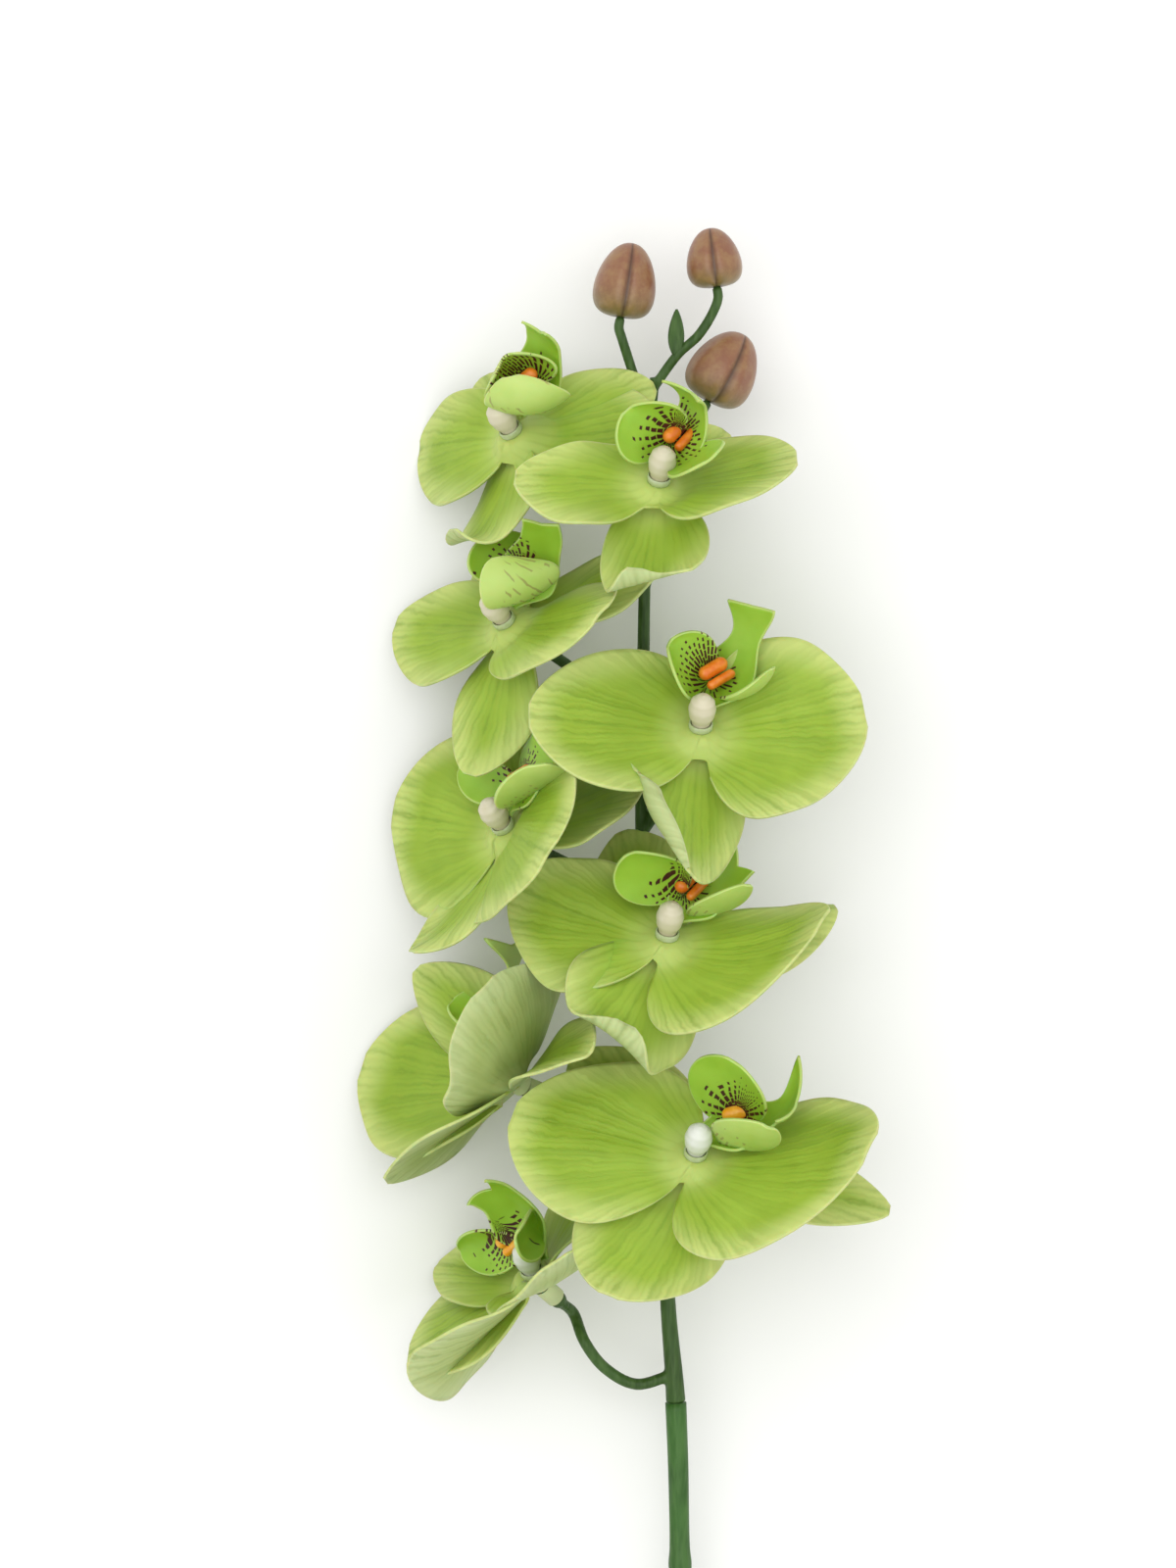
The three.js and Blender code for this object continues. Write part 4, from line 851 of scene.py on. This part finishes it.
# The thicker stem is of a slightly cooler green.
lower_finish = green_stem("lower_stem_green_pe", "#376024", "#2C521C", "#557A3E")

bm = bmesh.new()
add_bar(bm, MAIN_STEM)
for bloom, route in zip(BLOOMS, BRANCHES):
    local = bloom_frame(bloom)
    tip = [(BRANCH_END + back, radius) for back, radius in BRANCH_TIP]
    add_bar(bm, [(*point, BRANCH_RADIUS) for point in route] + along_axis(local, *tip))
    peg = (BRANCH_END - PEG_ROOT, PEG_RADIUS), (BRANCH_END + PEG_LENGTH, PEG_RADIUS)
    add_bar(bm, along_axis(local, *peg), 2)

VOXEL = 0.45                  # the upper stem is melted into one skin at this size
BUD_STALK = 1.45
BUD_NECK = 3                  # the end of a stalk that runs straight into its bud
BUD_PEG = 0.85
BUD_PEG_LENGTH = 2.8
BUDS = [
    dict(foot=(9.4, 135, 26), aim=81, length=21.8, width=17.8, spin=95,
      stalk=[(18, 104, 20.8), (12.4, 121, 24), (9.8, 129, 26)]),
    dict(foot=(37.3, 143.8, 26), aim=97, length=17.2, width=15.8, spin=88,
      stalk=[(19.1, 115, 23.5), (26.1, 124.5, 25), (32, 129.9, 26), (36.4, 137, 26)]),
    dict(foot=(34.8, 111.2, 20), aim=62, length=22, width=19.6, spin=107,
      stalk=[(18, 100, 20.5), (25, 100.5, 17.5), (31, 105, 19)]),
]


def bud_frame(bud):
    aim = math.radians(bud["aim"])
    ahead = Vector((math.cos(aim), math.sin(aim), 0))
    up = Vector((0, 0, 1))
    place = Matrix((up.cross(ahead), up, ahead)).transposed().to_4x4()
    place.translation = Vector(bud["foot"])
    return place


for bud in BUDS:
    local = bud_frame(bud)
    way = [(*point, BUD_STALK) for point in bud["stalk"]]
    add_bar(bm, way + along_axis(local, (-BUD_NECK, BUD_STALK), (-GAP, BUD_STALK)))
    add_bar(bm, along_axis(local, (-PEG_ROOT, BUD_PEG), (BUD_PEG_LENGTH, BUD_PEG)), 2)
top, below = (Vector(point[:3]) for point in LOWER_STEM[:2])
down = (below - top).normalized()
add_bar(bm, [(*(top - down * 2), LOWER_PEG), (*(top + down * LOWER_PEG_LENGTH), LOWER_PEG)], 2)
shift = Matrix.Scale(MM, 4) @ Matrix.Translation(SHIFT)
bmesh.ops.transform(bm, matrix=shift, verts=bm.verts)
bmesh.ops.recalc_face_normals(bm, faces=bm.faces)
stem = finished(bm, "upper_stem", "stem_upper", [upper_finish])
merge = stem.modifiers.new("one moulding", "REMESH")
merge.mode = "VOXEL"
merge.voxel_size = VOXEL * MM
merge.use_smooth_shade = True
soften = stem.modifiers.new("soft joints", "SMOOTH")
soften.iterations = 4

bm = bmesh.new()
add_bar(bm, LOWER_STEM)
cut = min(bm.faces, key=lambda face: (face.calc_center_median() - top).length)
bmesh.ops.inset_individual(bm, faces=[cut], thickness=LOWER_STEM[0][3] - LOWER_SOCKET)
grown = bmesh.ops.extrude_face_region(bm, geom=[cut])["geom"]
deep = [item for item in grown if isinstance(item, bmesh.types.BMVert)]
bmesh.ops.translate(bm, verts=deep, vec=down * LOWER_SOCKET_DEPTH)
bmesh.ops.transform(bm, matrix=shift, verts=bm.verts)
bmesh.ops.recalc_face_normals(bm, faces=bm.faces)
finished(bm, "lower_stem", "stem_lower", [lower_finish])

BRACT_FOOT = (25.4, 123.6, 25.6)
bract = blade(89, 4, curl=12, cup=25, length=14, width=4.6, left=(0.8, 0.8), right=(0.8, 0.8))
bm = bmesh.new()
add_blade(bm, {**PLAIN, **bract}, 16, 8, Matrix.Translation(SHIFT),
          lambda points, *rest: points + BRACT_FOOT, Vector())
finished(bm, "bract", "stem_upper", [upper_finish], WALL)


# Buds
# Three closed buds are moulded solid, with three folds where their sepals meet.
# Each has a small socket in its foot and is pushed on the peg of its stalk.
BUD_ROUND = 72
BUD_RINGS = 40
BUD_SOCKET = ((0, 3.2), (1.25, 3.2), (1.25, 1.5), (1.25, 0.05))    # radius and height of its rings
BUD_FOOT = 0.06                # where along the bud's outline the first ring outside it lies
FOLD_WIDTH = 0.09
FOLD_CUT = 0.13
SWELL_AT, SWELL_WIDTH, SWELL = 0.3, 0.15, 0.04

# Polyethylene with a coat of lacquer: brownish pink that turns olive towards the stalk, with folds
# darkened by painted shade. The low sheen on it gives the eye a firm, closed bud.
bud_finish, node = new_material("bud_pink_brown_pe")
spot = node("TexCoord", (), "Object")
flat = node("Attribute", (), "Vector", attribute_name="flat")
height, painted_fold_shade = (node("SeparateXYZ", [flat], axis) for axis in "XY")
rise = node("TexNoise", {"Vector": spot, "Scale": 1 / (11 * MM), "Detail": 3})
rise = node("Math", [rise, 0.3, height], operation="MULTIPLY_ADD")
rise = node("MapRange", [rise, 0.1, 0.6], **SMOOTH)
mottle = node("TexNoise", {"Vector": spot, "Scale": 1 / (4.2 * MM), "Detail": 4, "Roughness": 0.65})
mottle = node("MapRange", [mottle, 0.35, 0.7, 0, 0.6], **SMOOTH)
# Painted shade darkens the folds.
painted_fold_shade = node("Math", [painted_fold_shade, 0.75], operation="MULTIPLY")
dents = node("TexNoise", {"Vector": spot, "Scale": 1 / (1.6 * MM), "Detail": 3})
coated(node, "#77683A", ((rise, "#85583F"), (mottle, "#9A7A50"), (painted_fold_shade, "#38241A")),
       {"Height": dents, "Distance": 0.12 * MM}, {"Roughness": 0.34, "Specular IOR Level": 0.5})

for number, bud in enumerate(BUDS, 1):
    bm = bmesh.new()
    on_flat = bm.verts.layers.float_vector.new("flat")
    bmesh.ops.create_uvsphere(bm, u_segments=BUD_ROUND, v_segments=BUD_RINGS, radius=1)
    for vert in bm.verts:
        ring = round(math.acos(max(-1, min(1, -vert.co.z))) / math.pi * BUD_RINGS)
        angle = math.atan2(vert.co.y, vert.co.x)
        if ring < len(BUD_SOCKET):
            radius, height = BUD_SOCKET[ring]
            deep = 1
        else:
            share = (ring - len(BUD_SOCKET)) / (BUD_RINGS - len(BUD_SOCKET))
            s = BUD_FOOT + (1 - BUD_FOOT) * share
            third = 2 * math.pi / 3
            fold = abs((angle + third / 2) % third - third / 2)
            deep = math.exp(-(fold / FOLD_WIDTH) ** 2)
            swell = SWELL * math.exp(-((fold - SWELL_AT) / SWELL_WIDTH) ** 2)
            wide = bud["width"] / 2 * math.sin(math.pi * s ** 0.75) ** 0.9
            radius = wide * (1 - FOLD_CUT * deep + swell)
            height = bud["length"] * (1 - math.cos(math.pi * s)) / 2
        turned = angle + math.radians(bud["spin"])
        vert.co = Vector((radius * math.cos(turned), radius * math.sin(turned), height))
        # flat keeps the height along the bud and how deep in a fold it lies, for the painted shade
        # there.
        vert[on_flat] = (height / bud["length"], deep, 0)
    bmesh.ops.transform(bm, matrix=shift @ bud_frame(bud), verts=bm.verts)
    bmesh.ops.recalc_face_normals(bm, faces=bm.faces)
    finished(bm, f"bud_{number}_closed", f"bud_{number}", [bud_finish])


# Floor
# A plain pale sheet of matt board lies under the stem.
# It is wide enough to fill every view and isn't part of the stem.
FLOOR_HALF = 4
# Matt board: it has no highlight, so only the soft shadow shows on it.
floor_finish, node = new_material("floor_pale")
spot = node("TexCoord", (), "Object")
cloud = node("TexNoise", {"Vector": spot, "Scale": 1 / (330 * MM)})
coated(node, "#F4F4F2", [(cloud, "#EFEFED")], {}, {"Roughness": 0.9, "Specular IOR Level": 0.1})
bm = bmesh.new()
bmesh.ops.create_grid(bm, x_segments=1, y_segments=1, size=FLOOR_HALF)
mesh = bpy.data.meshes.new("floor")
bm.to_mesh(mesh)
bm.free()
floor = bpy.data.objects.new("floor", mesh)
floor.data.materials.append(floor_finish)
bpy.context.scene.collection.objects.link(floor)


# Light
# Soft studio light from all round, a little stronger from the upper left.
# Two wide lamps high over the stem, each turned to its middle, give the shading.
WORLD_STRENGTH = 0.9
LAMPS = {"key": ((-0.35, 0.3, 1.5), 1.7, 11), "fill": ((0.7, -0.3, 1.3), 1.6, 4)}
world = bpy.data.worlds.new("studio")
world.use_nodes = True
backdrop = world.node_tree.nodes["Background"].inputs
backdrop["Color"].default_value = (1, 1, 1, 1)
backdrop["Strength"].default_value = WORLD_STRENGTH
bpy.context.scene.world = world
bpy.context.scene.view_settings.view_transform = "Standard"
for name, (spot, size, power) in LAMPS.items():
    lamp = bpy.data.lights.new(name, "AREA")
    lamp.size = size
    lamp.energy = power
    light = bpy.data.objects.new(name, lamp)
    light.location = spot
    light.rotation_euler = (-Vector(spot)).to_track_quat("-Z", "Y").to_euler()
    bpy.context.scene.collection.objects.link(light)


# Camera
# It hangs straight over the stem and sees it as the photograph does.
# The picture's height is a real length at the level of the blooms.
CAMERA_HEIGHT = 1600
VIEW_HEIGHT = 451.2
VIEW_LEVEL = 35
SENSOR = 36
lens = bpy.data.cameras.new("camera")
lens.sensor_fit = "VERTICAL"
lens.sensor_height = SENSOR
lens.lens = SENSOR * (CAMERA_HEIGHT - VIEW_LEVEL) / VIEW_HEIGHT
camera = bpy.data.objects.new("camera", lens)
camera.location = (SHIFT + Vector((0, 0, CAMERA_HEIGHT))) * MM
bpy.context.scene.collection.objects.link(camera)
bpy.context.scene.camera = camera
